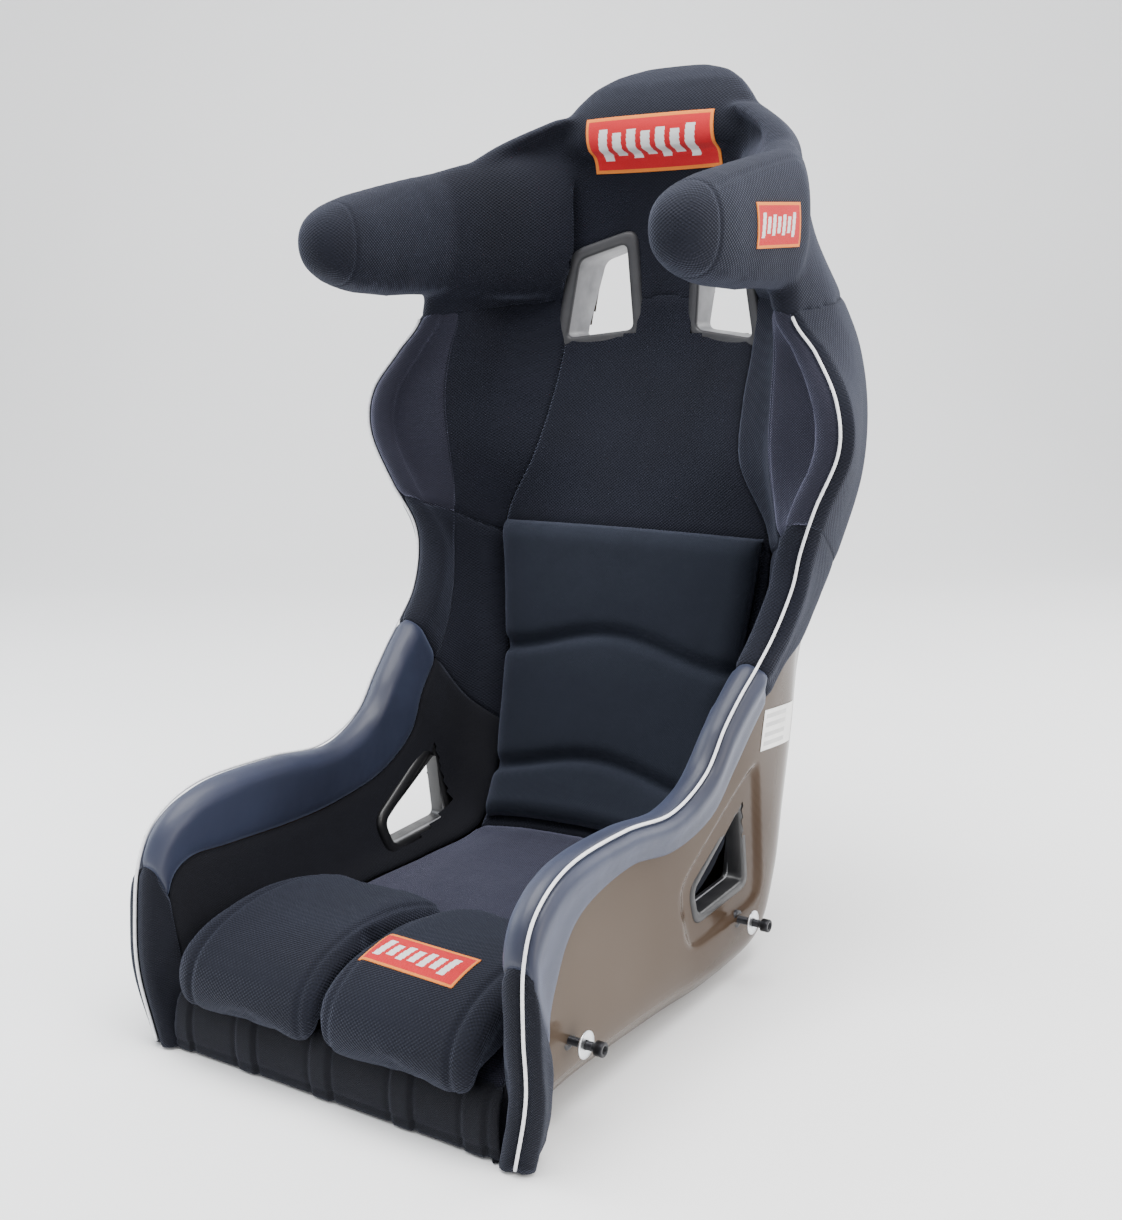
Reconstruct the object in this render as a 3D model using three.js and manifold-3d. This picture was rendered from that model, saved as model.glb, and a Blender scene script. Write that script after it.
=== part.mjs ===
// Racing seat: a composite containment bucket with side mounts, as separate parts in one group.
// Millimetres, +Z up, -Y is the way the driver faces, X = 0 is the mirror plane.
import * as THREE from "three";
import { mergeVertices } from "three/addons/utils/BufferGeometryUtils.js";
import Module from "manifold-3d";

const wasm = await Module();
wasm.setup();

// ---- driving dimensions -------------------------------------------------------------------
const GAP = 0.35; // clearance between neighbouring parts
const SHELL_THICKNESS = 4;
const WRAP_THICKNESS = 3.5; // cover that turns round the outside of the shell

const MOUNT_HALF_WIDTH = 200; // from the mirror plane to a side mount face
const MOUNT_POINTS = { rear: [64, 70], front: [-249, 78] }; // Y, Z of the mounting bolts
const BOLT_RADIUS = 4; // M8 socket screws
const BOLT_STAND_OUT = 36; // how far the loose bolt heads stand off the mount faces
const BOLT_LENGTH = 34;
const HEAD_RADIUS = 6.5;
const HEAD_HEIGHT = 8;
const WASHER_RADIUS = 12;
const WASHER_THICKNESS = 1.6;
const WASHER_STAND_OUT = 17;
const INSERT_RADIUS = 9;

const PIPING_RADIUS = 2.2;
const PIPING_SIDES = 6;
const PIPING_STEPS = 44;
const BEZEL_WIDTH = 13;

// Cross-sections from the front lip (0) along the base, round the hip corner and up the back to
// the crown. Each lies in a plane through `spine` (shell floor) and `rim` (Y, Z in side view).
// Half-widths and heights above the spine:
//   piping: half-width at the piping        roll: radius of the padded rim
//   wrap: how far the cover reaches down the outside from the rim
//   outer: flat half-width, corner radius and wall half-width of the shell
//   floor: padded surface at the centre, then half-width and height where the floor ends
//   wall, seam: padded wall just above the floor corner, and at the bolster's inner seam
const SECTIONS = [
  { spine: [-292, 2], rim: [-338, 2], piping: 204, roll: 13, wrap: 44, outer: [160, 20, 192],
    floor: [36, 180, 36], wall: [182, 30], seam: [184, 18] },
  { spine: [-286, 10], rim: [-341, 72], piping: 219, roll: 13, wrap: 68, outer: [165, 26, 200],
    floor: [60, 176, 58], wall: [180, 50], seam: [184, 40] },
  { spine: [-276, 18], rim: [-341, 128], piping: 218, roll: 14, wrap: 92, outer: [164, 32, 200],
    floor: [50, 172, 50], wall: [178, 60], seam: [184, 84] },
  { spine: [-262, 22], rim: [-334, 182], piping: 215, roll: 15, wrap: 105, outer: [162, 38, 200],
    floor: [48, 168, 47], wall: [180, 74], seam: [190, 140] },
  { spine: [-240, 22], rim: [-311, 219], piping: 213, roll: 17, wrap: 92, outer: [160, 42, 200],
    floor: [52, 166, 50], wall: [178, 80], seam: [190, 162] },
  { spine: [-205, 21], rim: [-258, 240], piping: 211, roll: 18, wrap: 60, outer: [158, 44, 200],
    floor: [64, 165, 58], wall: [178, 86], seam: [190, 156] },
  { spine: [-140, 17], rim: [-168, 240], piping: 209, roll: 18, wrap: 42, outer: [156, 46, 200],
    floor: [80, 165, 66], wall: [178, 90], seam: [190, 152] },
  { spine: [-60, 11], rim: [-90, 232], piping: 210, roll: 18, wrap: 45, outer: [154, 48, 200],
    floor: [91, 164, 74], wall: [178, 98], seam: [190, 160] },
  { spine: [40, 0.9], rim: [-30, 251], piping: 212, roll: 18, wrap: 56, outer: [150, 52, 200],
    floor: [106, 158, 88], wall: [178, 114], seam: [190, 188] },
  { spine: [136, 6], rim: [4, 287], piping: 214, roll: 18, wrap: 62, outer: [146, 56, 200],
    floor: [120, 140, 104], wall: [176, 142], seam: [190, 226] },
  { spine: [178, 58], rim: [30, 312], piping: 217, roll: 18, wrap: 60, outer: [144, 58, 200],
    floor: [111, 138, 106], wall: [176, 146], seam: [191, 226] },
  { spine: [200, 130], rim: [60, 337], piping: 221, roll: 19, wrap: 56, outer: [144, 58, 200],
    floor: [97, 142, 93], wall: [178, 128], seam: [193, 190] },
  { spine: [221, 208], rim: [90, 366], piping: 225, roll: 20, wrap: 60, outer: [144, 58, 201],
    floor: [88, 148, 83], wall: [180, 112], seam: [197, 154] },
  { spine: [234, 284], rim: [111, 405], piping: 232, roll: 20, wrap: 100, outer: [144, 60, 204],
    floor: [75, 158, 70], wall: [186, 96], seam: [203, 128] },
  { spine: [241, 354], rim: [113, 440], piping: 239, roll: 20, wrap: 126, outer: [144, 68, 220],
    floor: [64, 166, 57], wall: [188, 84], seam: [204, 114] },
  { spine: [246, 422], rim: [100, 485], piping: 259, roll: 20, wrap: 142, outer: [144, 80, 244],
    floor: [56, 164, 54], wall: [184, 80], seam: [198, 114] },
  { spine: [256, 494], rim: [96, 539], piping: 283, roll: 20, wrap: 152, outer: [146, 88, 262],
    floor: [44, 130, 58], wall: [172, 88], seam: [196, 132] },
  { spine: [279, 566], rim: [98, 585], piping: 279, roll: 20, wrap: 168, outer: [146, 92, 259],
    floor: [38, 120, 54], wall: [172, 96], seam: [198, 152] },
  { spine: [302, 634], rim: [112, 628], piping: 252, roll: 18, wrap: 176, outer: [140, 100, 245],
    floor: [33, 118, 50], wall: [168, 100], seam: [196, 164] },
  { spine: [315, 690], rim: [119, 668], piping: 222, roll: 15, wrap: 182, outer: [122, 110, 225],
    floor: [38, 114, 54], wall: [164, 96], seam: [188, 168] },
  { spine: [322, 742], rim: [122, 742], piping: 214, roll: 14, wrap: 186, outer: [84, 140, 206],
    floor: [43, 112, 58], wall: [160, 98], seam: [186, 168] },
  { spine: [328, 792], rim: [134, 798], piping: 204, roll: 14, wrap: 180, outer: [72, 148, 194],
    floor: [56, 108, 68], wall: [154, 100], seam: [182, 160] },
  { spine: [333, 836], rim: [186, 844], piping: 178, roll: 15, wrap: 132, outer: [52, 112, 167],
    floor: [70, 86, 76], wall: [122, 92], seam: [150, 116] },
  { spine: [337, 876], rim: [242, 882], piping: 112, roll: 18, wrap: 84, outer: [26, 64, 104],
    floor: [70, 50, 71], wall: [72, 73], seam: [86, 76] },
];
const CROWN = SECTIONS.length - 1;

// Section numbers at which the covers change.
const LIP_TOP = 1.5;
const POST_TOP = 2.9;
const BASE_REAR = 9;
const VINYL_TOP = 11;
const TORSO_TOP = 14.6;
const SHOULDER_TOP = 19;
const HEAD_TOP = 22.95;
const HEAD_PAD_TOP = 22.3;
const SEAM = 0.014; // half the step between two covers, in section numbers

// Corners of the slots.
const SHOULDER_SLOT = [[40, 648], [117, 639], [101, 725], [47, 742]]; // X, Z from the front
const LAP_SLOT = [[80, 106], [70, 184], [-24, 130], [-16, 103]]; // Y, Z from the side
const CROTCH_SLOT = [[-38, -204], [38, -204], [38, -174], [-38, -174]]; // X, Y from above
const SLOT_CORNER = 9;

// Side view of a thigh cushion, and its two side faces.
const THIGH_OUTLINE = [
  [-138, 101], [-158, 119], [-225, 129], [-295, 121], [-333, 101],
  [-345, 78], [-341, 62], [-318, 66], [-262, 75],
];
const THIGH_SIDES = [2, 163];

const CUSHION = { from: BASE_REAR, to: 14.9, halfWidth: [130, 163], rise: 26 };

// Head wings, front to back: Y, then centre height, half height, centre and half of the width.
const HEAD_WING = [
  [-82, 741, 8, 201, 9],
  [-74, 740, 24, 201, 21],
  [-52, 740, 38, 201, 30],
  [-15, 741, 49, 202, 33],
  [40, 745, 57, 204, 31],
  [85, 750, 61, 207, 31],
  [117, 752, 63, 209, 31],
];
const WING_PLATE = { front: -40, rear: 160, bottom: 706, top: 786, inner: 204, outer: 210 };

// Crown, from the bottom up: Z, front and back in Y, half-width.
const CROWN_LOOPS = [
  [846, 262, 345, 158],
  [868, 262, 345, 128],
  [890, 265, 345, 100],
  [912, 278, 343, 70],
  [925, 296, 338, 42],
  [930, 310, 330, 14],
];

const SLEEVE = 2.5; // wall of a bezel's sleeve
const BACK_SLANT = -0.23; // Y per X of the back across a shoulder slot
const WALL_SLANT = 0.15; // X per Z of the side wall up a lap slot
const SHOULDER_FLANGE = [273, 277]; // Y, at the inner lower corner
const SHOULDER_SLEEVE = [268, 318];
const LAP_FLANGE = [176, 180]; // X, at the lower rear corner
const LAP_SLEEVE = [182, 202];
const CROTCH_FLANGE = [78, 81]; // Z
const CROTCH_SLEEVE = [16, 80];

const PLATE = { x: [189.5, 192.5], y: [-270, 86], z: [61, 92] };
const BOLT_REACH = 160; // X to which the padding is bored for a bolt driven home
const INSERT_LIP = 1.5;
const SOCKET_RADIUS = 3.4;
const SOCKET_DEPTH = 4;

const LABEL = [[210.5, 138, 252], [0.5, 84, 44]]; // centre and size
const CROWN_PATCH = [[0, 246, 850], [152, 1.2, 50]];
const WING_PATCH = [[242.5, 58, 743], [1.2, 84, 38]];
const CUSHION_PATCH = { centre: [70, -262, 130], size: [104, 44, 1.2], tilt: 0.1 };

// ---- finishes ------------------------------------------------------------------------------
const finish = (color, roughness, metalness = 0) =>
  new THREE.MeshStandardMaterial({ color, roughness, metalness });
const FINISH = {
  gelcoat: finish(0x15110f, 0.12),
  airMesh: finish(0x15171f, 0.9),
  velour: finish(0x25242d, 0.95),
  vinyl: finish(0x232838, 0.5),
  knit: finish(0x1a2029, 0.8),
  foam: finish(0x3a3a3c, 0.95),
  cord: finish(0xe8e8ea, 0.5),
  greyPlastic: finish(0x4a4b50, 0.5),
  blackPlastic: finish(0x0c0c0d, 0.35),
  blackSteel: finish(0x101012, 0.4, 0.8),
  zinc: finish(0xcfd2d6, 0.25, 0.9),
  steel: finish(0x6c6f73, 0.4, 0.9),
  redPatch: finish(0xc8202a, 0.7),
  whiteFilm: finish(0xe6e6e2, 0.6),
};

const seat = new THREE.Group();
function add(name, geometry, material) {
  const mesh = new THREE.Mesh(geometry, material.clone());
  mesh.name = name;
  seat.add(mesh);
}

// ---- sections ------------------------------------------------------------------------------
const ROWS = SECTIONS.map((row) => Object.values(row).flat());

// One column of the table between two rows, on a Catmull-Rom spline; past an end it goes on.
function column(index, v) {
  const i = Math.min(Math.max(Math.floor(v), 0), CROWN - 1);
  const f = v - i;
  const row = (k) => {
    if (k < 0) return 2 * ROWS[0][index] - ROWS[1][index];
    if (k > CROWN) return 2 * ROWS[CROWN][index] - ROWS[CROWN - 1][index];
    return ROWS[k][index];
  };
  const [p0, p1, p2, p3] = [i - 1, i, i + 1, i + 2].map(row);
  const square = 2 * p0 - 5 * p1 + 4 * p2 - p3;
  const cube = 3 * p1 - p0 - 3 * p2 + p3;
  return 0.5 * (2 * p1 + (p2 - p0) * f + square * f * f + cube * f * f * f);
}

function section(v) {
  const c = ROWS[0].map((_, index) => column(index, v));
  const height = Math.hypot(c[2] - c[0], c[3] - c[1]);
  return {
    spine: [c[0], c[1]],
    up: [(c[2] - c[0]) / height, (c[3] - c[1]) / height],
    height,
    piping: c[4],
    roll: c[5],
    wrap: c[6],
    outer: { flat: c[7], corner: c[8], wall: c[9] },
    floor: [[0, c[10]], [c[11], c[12]]],
    wall: [c[13], c[14]],
    seam: [c[15], c[16]],
  };
}

function place(s, [u, h]) {
  return new THREE.Vector3(u, s.spine[0] + s.up[0] * h, s.spine[1] + s.up[1] * h);
}
const rollCentre = (s) => [s.piping - 0.55 * s.roll, s.height - s.roll];
const mix = (a, b, t) => a + (b - a) * t;
const flip = (line) => line.map(([u, h]) => [-u, h]);

function through(points, steps) {
  const curve = new THREE.SplineCurve(points.map((p) => new THREE.Vector2(...p)));
  return curve.getPoints(steps).map((p) => [p.x, p.y]);
}

// Moves a line sideways by `distance`, to its left, and its last point on by `more`.
function offset(line, distance, more = 0) {
  return line.map((p, i) => {
    const [a, b] = [line[Math.max(i - 1, 0)], line[Math.min(i + 1, line.length - 1)]];
    const length = Math.hypot(b[0] - a[0], b[1] - a[1]);
    const [du, dh] = [(b[0] - a[0]) / length, (b[1] - a[1]) / length];
    const on = i === line.length - 1 ? more : 0;
    return [i ? p[0] - dh * distance + du * on : 0, p[1] + du * distance + dh * on];
  });
}

const SHELL_SPAN = 2; // steps from one shape point of the shell's half section to the next
const CORNER_INDEX = 2 * SHELL_SPAN;

// The outside of the shell, from the centre of the floor to the rim.
function shellLine(s) {
  const { flat, corner, wall } = s.outer;
  const [u, h] = rollCentre(s);
  const cut = 0.29 * corner;
  const middle = [(wall + u) / 2 + 2, (corner + h) / 2];
  const points = [[0, 0], [flat, 0], [wall - cut, cut], [wall, corner], middle, [u + 2, h]];
  return through(points, 5 * SHELL_SPAN);
}

// The half-width of the shell line at a height on its wall.
function shellAt(line, h) {
  const wall = line.slice(CORNER_INDEX);
  const i = Math.max(1, wall.findIndex((p) => p[1] > h));
  const [a, b] = h > wall.at(-1)[1] ? wall.slice(-2) : [wall[i - 1], wall[i]];
  return mix(a[0], b[0], Math.min(1, Math.max(0, (h - a[1]) / (b[1] - a[1]))));
}

function shellContour(s, grow) {
  const outside = offset(shellLine(s), -grow, grow);
  const inside = offset(shellLine(s), SHELL_THICKNESS + grow, grow);
  return [
    ...flip(outside).reverse(), ...outside.slice(1),
    ...inside.reverse(), ...flip(inside.toReversed().slice(1)),
  ];
}

// Padded inside surface: half of the floor, and the wall up to the seam.
function floorLine(s) {
  const [centre, edge] = s.floor;
  return through([centre, [edge[0] * 0.55, mix(centre[1], edge[1], 0.3)], edge], 4);
}
const wallLine = (s) => through([s.floor[1], s.wall, s.seam], 4);
// Out from the centre on top, back underneath, and the same mirrored.
const bothSides = (top, under) => [
  ...flip(top).reverse(), ...top.slice(1),
  ...under.toReversed(), ...flip(under.slice(1)),
];

// Padding between the inside surface and the shell, from the centre out to the floor's edge or
// to the seam, on both sides.
function padContour(s, toSeam) {
  const face = offset(shellLine(s), SHELL_THICKNESS / 2);
  const under = face.slice(0, CORNER_INDEX + 1);
  if (toSeam) {
    const up = [0.75, 1].map((t) => [shellAt(face, s.seam[1] * t), s.seam[1] * t]);
    return bothSides([...floorLine(s), ...wallLine(s).slice(1)], [...under, ...up]);
  }
  const inset = (line) => [...line.slice(0, -1), [line.at(-1)[0] - 3 * GAP, line.at(-1)[1]]];
  return bothSides(inset(floorLine(s)), inset(under));
}

// Wall liner of one side, between the floor's edge and the seam.
function linerContour(s) {
  const face = offset(shellLine(s), SHELL_THICKNESS / 2);
  const down = [1, 0.75, 0.5].map((t) => [shellAt(face, s.seam[1] * t), s.seam[1] * t]);
  return [...wallLine(s), ...down, face[CORNER_INDEX]];
}

// Bolster of one side: from the seam (or the floor's edge) over the rim and down the outside.
function bolsterContour(s, fromFloor) {
  const [u, h] = rollCentre(s);
  const line = shellLine(s);
  const low = fromFloor ? wallLine(s) : [[s.seam[0], s.seam[1] + 2 * GAP]];
  const arc = [180, 144, 108, 72, 36, 0].map((degrees) => {
    const a = (degrees * Math.PI) / 180;
    return [u + s.roll * Math.cos(a), h + s.roll * Math.sin(a)];
  });
  const foot = s.height - s.wrap;
  const wrapped = [0.45, 1].map((t) => {
    const at = mix(h, foot, t);
    return [shellAt(line, at) + mix(s.roll * 0.6, WRAP_THICKNESS, t), at];
  });
  const inShell = offset(line, SHELL_THICKNESS / 2);
  const back = (at) => [shellAt(inShell, at), at];
  const inner = fromFloor
    ? [back(mix(foot, s.outer.corner, 0.5)), inShell[CORNER_INDEX]]
    : [back(low[0][1])];
  return [...low, ...arc, ...wrapped, back(foot), ...inner];
}

// Head padding: the inside surface, both rims and the cover down the outside.
function headContour(s) {
  const [, ...side] = bolsterContour(s, false);
  const outside = side.slice(0, 8);
  const inShell = offset(shellLine(s), SHELL_THICKNESS / 2);
  const foot = s.height - s.wrap;
  const under = inShell.slice(0, CORNER_INDEX + 1);
  for (const t of [0.33, 0.67, 1]) {
    const at = mix(under[CORNER_INDEX][1], foot, t);
    under.push([shellAt(inShell, at), at]);
  }
  const top = [...floorLine(s), ...wallLine(s).slice(1), ...outside];
  return bothSides(top, under);
}

// ---- bodies --------------------------------------------------------------------------------
function indexed(geometry) {
  const bare = geometry.clone();
  bare.deleteAttribute("normal");
  bare.deleteAttribute("uv");
  return mergeVertices(bare, 1e-4);
}

function solid(geometry) {
  const merged = indexed(geometry);
  return new wasm.Manifold(new wasm.Mesh({
    numProp: 3,
    vertProperties: new Float32Array(merged.getAttribute("position").array),
    triVerts: new Uint32Array(merged.getIndex().array),
  }));
}

function geometryOf(body) {
  const mesh = body.getMesh();
  const geometry = new THREE.BufferGeometry();
  geometry.setAttribute("position", new THREE.Float32BufferAttribute(mesh.vertProperties, 3));
  geometry.setIndex(new THREE.Uint32BufferAttribute(mesh.triVerts, 1));
  return geometry;
}

// A closed body through rings of points, with flat ends cut into triangles by `outline`.
function loft(rings, outline) {
  const size = rings[0].length;
  const index = [];
  for (let i = 0; i < rings.length - 1; i++) {
    for (let j = 0; j < size; j++) {
      const [a, b] = [i * size + j, i * size + ((j + 1) % size)];
      const [p, q] = [rings[i][j], rings[i][(j + 1) % size]];
      const [onP, onQ] = [rings[i + 1][j], rings[i + 1][(j + 1) % size]];
      // Every quad is split along its shorter diagonal, so that neighbouring bodies agree.
      if (q.distanceTo(onP) < p.distanceTo(onQ)) index.push(a, b, a + size, b, b + size, a + size);
      else index.push(a, b, b + size, a, b + size, a + size);
    }
  }
  const last = (rings.length - 1) * size;
  // A slight ripple keeps every point on a straight stretch as a corner of the end's triangles.
  const ripple = (i) => [0.02 * Math.sin(9 * i), 0.02 * Math.cos(5 * i)];
  [[0, -1], [last, 1]].forEach(([first, way], end) => {
    const points = outline(end).map(([u, h], i) => new THREE.Vector2(...ripple(i)).add({ x: u, y: h }));
    const turn = THREE.ShapeUtils.isClockWise(points) ? -way : way;
    for (const [a, b, c] of THREE.ShapeUtils.triangulateShape(points, [])) {
      const corners = turn > 0 ? [a, b, c] : [c, b, a];
      index.push(...corners.map((corner) => first + corner));
    }
  });
  const points = rings.flat().flatMap((p) => p.toArray());
  const geometry = new THREE.BufferGeometry();
  geometry.setAttribute("position", new THREE.Float32BufferAttribute(points, 3));
  geometry.setIndex(index);
  return solid(facingOut(geometry));
}

function facingOut(geometry) {
  const points = geometry.getAttribute("position");
  const index = geometry.getIndex().array;
  const corner = (i) => new THREE.Vector3().fromBufferAttribute(points, index[i]);
  let volume = 0;
  for (let i = 0; i < index.length; i += 3) {
    volume += corner(i).dot(corner(i + 1).cross(corner(i + 2)));
  }
  if (volume > 0) return geometry;
  for (let i = 0; i < index.length; i += 3) [index[i], index[i + 1]] = [index[i + 1], index[i]];
  return geometry;
}

// Section numbers for a sweep: its ends, and every section of the table between.
function stops(from, to) {
  const [first, last] = [Math.ceil(from + 0.1), Math.floor(to - 0.1)];
  return [from, ...Array.from({ length: last - first + 1 }, (_, i) => first + i), to];
}

// Sweeps the contour that `outline` gives for each section.
function sweep(from, to, outline) {
  const rings = stops(from, to).map((v) => {
    const s = section(v);
    return outline(s, v).map((p) => place(s, p));
  });
  return loft(rings, (end) => (end ? outline(section(to), to) : outline(section(from), from)));
}

// A box between two values of X, Y and Z, grown on all sides.
function boxBetween(x, y, z, grow) {
  const spans = [x, y, z];
  const box = new THREE.BoxGeometry(...spans.map(([from, to]) => to - from + 2 * grow));
  return solid(box.translate(...spans.map(([from, to]) => (from + to) / 2)));
}

const cut = (body, ...tools) => tools.reduce((left, tool) => left.subtract(tool), body);
const largest = (body) => body.decompose().sort((a, b) => b.volume() - a.volume())[0];
const SIDES = [["right", 1], ["left", -1]];
const mirror = (body, side) => (side > 0 ? body : body.mirror([1, 0, 0]));

// ---- slots ---------------------------------------------------------------------------------
// A polygon grown outwards by `grow`, with rounded corners.
function roundedOutline(corners, grow) {
  const points = corners.map((p) => new THREE.Vector2(...p));
  const count = points.length;
  const turn = Math.sign(THREE.ShapeUtils.area(points));
  const side = (i) => {
    const [a, b] = [points[(i + count) % count], points[(i + 1) % count]];
    const direction = b.clone().sub(a).normalize();
    const out = new THREE.Vector2(direction.y, -direction.x).multiplyScalar(turn * grow);
    return { start: a.clone().add(out), direction };
  };
  const grown = points.map((_, i) => {
    const [p, q] = [side(i - 1), side(i)];
    const t = q.start.clone().sub(p.start).cross(q.direction) / p.direction.cross(q.direction);
    return p.start.addScaledVector(p.direction, t);
  });
  const shape = new THREE.Shape();
  grown.forEach((corner, i) => {
    const [from, to] = [i - 1, i + 1].map((k) => {
      const reach = grown[(k + count) % count].clone().sub(corner);
      return reach.setLength(SLOT_CORNER + 0.6 * grow).add(corner);
    });
    if (i) shape.lineTo(from.x, from.y);
    else shape.moveTo(from.x, from.y);
    shape.quadraticCurveTo(corner.x, corner.y, to.x, to.y);
  });
  return shape.closePath();
}

function frameOutline(corners, inside, outside) {
  const shape = roundedOutline(corners, outside);
  shape.holes.push(roundedOutline(corners, inside));
  return shape;
}

// Extrusions of an outline drawn in X, Z (along Y), in Y, Z (along X) or in X, Y (along Z).
function extrude(shape, from, to) {
  const settings = { depth: to - from, bevelEnabled: false, curveSegments: 3 };
  return new THREE.ExtrudeGeometry(shape, settings).translate(0, 0, from);
}
const QUARTER = Math.PI / 2;
const alongY = (shape, from, to) => solid(extrude(shape, -to, -from).rotateX(QUARTER));
const alongX = (shape, from, to) => solid(extrude(shape, from, to).rotateX(QUARTER).rotateZ(QUARTER));
const alongZ = (shape, from, to) => solid(extrude(shape, from, to));

// The shoulder slots lie in the slanted back, the lap slots in the sloping side walls.
const acrossBack = new THREE.Matrix4().makeShear(BACK_SLANT, 0, 0, 0, 0, 0);
const upWall = new THREE.Matrix4().makeShear(0, 0, 0, 0, WALL_SLANT, 0);
const slanted = (body, matrix, shift) => body.transform(matrix.toArray()).translate(shift);
const backShift = [0, -BACK_SLANT * SHOULDER_SLOT[0][0], 0];
const wallShift = [-WALL_SLANT * LAP_SLOT[0][1], 0, 0];

const shoulderSlot = (grow, from, to) => alongY(roundedOutline(SHOULDER_SLOT, grow), from, to);
const lapSlot = (grow, from, to) => alongX(roundedOutline(LAP_SLOT, grow), from, to);
const slotsThrough = (grow) => [
  ...SIDES.map(([, side]) => mirror(shoulderSlot(grow, 180, 380), side)),
  ...SIDES.map(([, side]) => mirror(lapSlot(grow, 150, 240), side)),
  alongZ(roundedOutline(CROTCH_SLOT, grow), -20, 140),
];

// Flange of a bezel, let into the padding; `clear` is how far its space reaches out of the pad,
// and 0 for the flange itself.
function flangeOutline(corners, grow, clear) {
  return clear ? roundedOutline(corners, BEZEL_WIDTH + grow) : frameOutline(corners, 0, BEZEL_WIDTH);
}
function shoulderFlange(side, grow, clear) {
  const [front, rear] = SHOULDER_FLANGE;
  const body = alongY(flangeOutline(SHOULDER_SLOT, grow, clear), front - clear, rear + grow);
  return mirror(slanted(body, acrossBack, backShift), side);
}
function lapFlange(side, grow, clear) {
  const [inner, outer] = LAP_FLANGE;
  const body = alongX(flangeOutline(LAP_SLOT, grow, clear), inner - clear, outer + grow);
  return mirror(slanted(body, upWall, wallShift), side);
}
function crotchFlange(grow, clear) {
  const [bottom, top] = CROTCH_FLANGE;
  return alongZ(flangeOutline(CROTCH_SLOT, grow, clear), bottom - grow, top + clear);
}
const sleeve = (corners) => frameOutline(corners, 0, SLEEVE);
const shoulderSleeve = (side) => mirror(alongY(sleeve(SHOULDER_SLOT), ...SHOULDER_SLEEVE), side);
const lapSleeve = (side) => mirror(alongX(sleeve(LAP_SLOT), ...LAP_SLEEVE), side);

// ---- shell ---------------------------------------------------------------------------------
const wingPlate = (side, grow) => {
  const { front, rear, bottom, top, inner, outer } = WING_PLATE;
  return mirror(boxBetween([inner, outer], [front, rear], [bottom, top], grow), side);
};
function shellBody(grow) {
  const bucket = sweep(0, HEAD_TOP, (s) => shellContour(s, grow));
  return bucket.add(wingPlate(1, grow)).add(wingPlate(-1, grow));
}
const shellSpace = shellBody(GAP);

// A bar along X round each mounting point, on both sides of the seat.
function bars(radius, from, to) {
  const right = Object.values(MOUNT_POINTS).map(([y, z]) => {
    const bar = new THREE.CylinderGeometry(radius, radius, to - from, 16).rotateZ(QUARTER);
    return solid(bar.translate((from + to) / 2, y, z));
  });
  return [...right, ...right.map((bar) => mirror(bar, -1))];
}
const PLATE_OUTER = PLATE.x[1];
const BORE = BOLT_RADIUS + GAP;
const insertSpace = bars(INSERT_RADIUS + GAP, PLATE_OUTER, 240);
const sleeveSpace = slotsThrough(SLEEVE + GAP);
add("seat_shell", geometryOf(cut(shellBody(0), ...sleeveSpace, ...insertSpace)), FINISH.gelcoat);

// ---- padding -------------------------------------------------------------------------------
const padSpaces = [
  shellSpace,
  ...sleeveSpace,
  crotchFlange(GAP, 30),
  ...insertSpace,
  ...bars(BORE, BOLT_REACH, PLATE_OUTER + 1),
  ...SIDES.flatMap(([, side]) => [
    shoulderFlange(side, GAP, 80),
    lapFlange(side, GAP, 40),
    mirror(boxBetween(PLATE.x, PLATE.y, PLATE.z, GAP), side),
  ]),
];
const clearOfShell = (body) => largest(cut(body, ...padSpaces));

function pair(name, body, material) {
  for (const [label, side] of SIDES) add(`${name}_${label}`, geometryOf(mirror(body, side)), material);
}

function paddingPair(name, body, material) {
  for (const [label, side] of SIDES) {
    add(`${name}_${label}`, geometryOf(clearOfShell(mirror(body, side))), material);
  }
}

function bolster(from, to, fromFloor) {
  return sweep(from + SEAM, to - SEAM, (s) => bolsterContour(s, fromFloor));
}
paddingPair("front_post_pad", bolster(0, POST_TOP, false), FINISH.airMesh);
paddingPair("thigh_bolster", bolster(POST_TOP, VINYL_TOP, false), FINISH.vinyl);
paddingPair("torso_bolster", bolster(VINYL_TOP, TORSO_TOP, true), FINISH.airMesh);
paddingPair("shoulder_pad", bolster(TORSO_TOP, SHOULDER_TOP, false), FINISH.velour);
const liner = sweep(POST_TOP + SEAM, VINYL_TOP - SEAM, linerContour);
paddingPair("side_liner", liner, FINISH.airMesh);

function padding(from, to, toSeam) {
  return geometryOf(clearOfShell(sweep(from + SEAM, to - SEAM, (s) => padContour(s, toSeam))));
}
add("front_apron", padding(0, LIP_TOP, false), FINISH.airMesh);
add("seat_base_pad", padding(LIP_TOP, BASE_REAR, false), FINISH.velour);
add("lumbar_foam", padding(BASE_REAR, TORSO_TOP, false), FINISH.foam);
add("upper_back_pad", padding(TORSO_TOP, SHOULDER_TOP, true), FINISH.airMesh);

// Rounded loop in plan, for the crown: front and back in Y, and the half-width.
function crownLoop([z, front, back, halfWidth]) {
  const [middle, depth] = [(front + back) / 2, (back - front) / 2];
  return Array.from({ length: 20 }, (_, i) => {
    const a = (i / 20) * 2 * Math.PI;
    const [c, d] = [Math.cos(a), Math.sin(a)].map((t) => Math.sign(t) * Math.abs(t) ** 0.7);
    return new THREE.Vector3(halfWidth * c, middle + depth * d, z);
  });
}
const crownRings = CROWN_LOOPS.map(crownLoop);
const crown = loft(crownRings, (end) => crownRings.at(-end).map((p) => [p.x, p.y]));
const headFront = sweep(SHOULDER_TOP + SEAM, HEAD_PAD_TOP, headContour);
const headBody = cut(headFront.add(crown), shellBody(4 * GAP));
add("head_pad", geometryOf(clearOfShell(headBody)), FINISH.airMesh);

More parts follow.
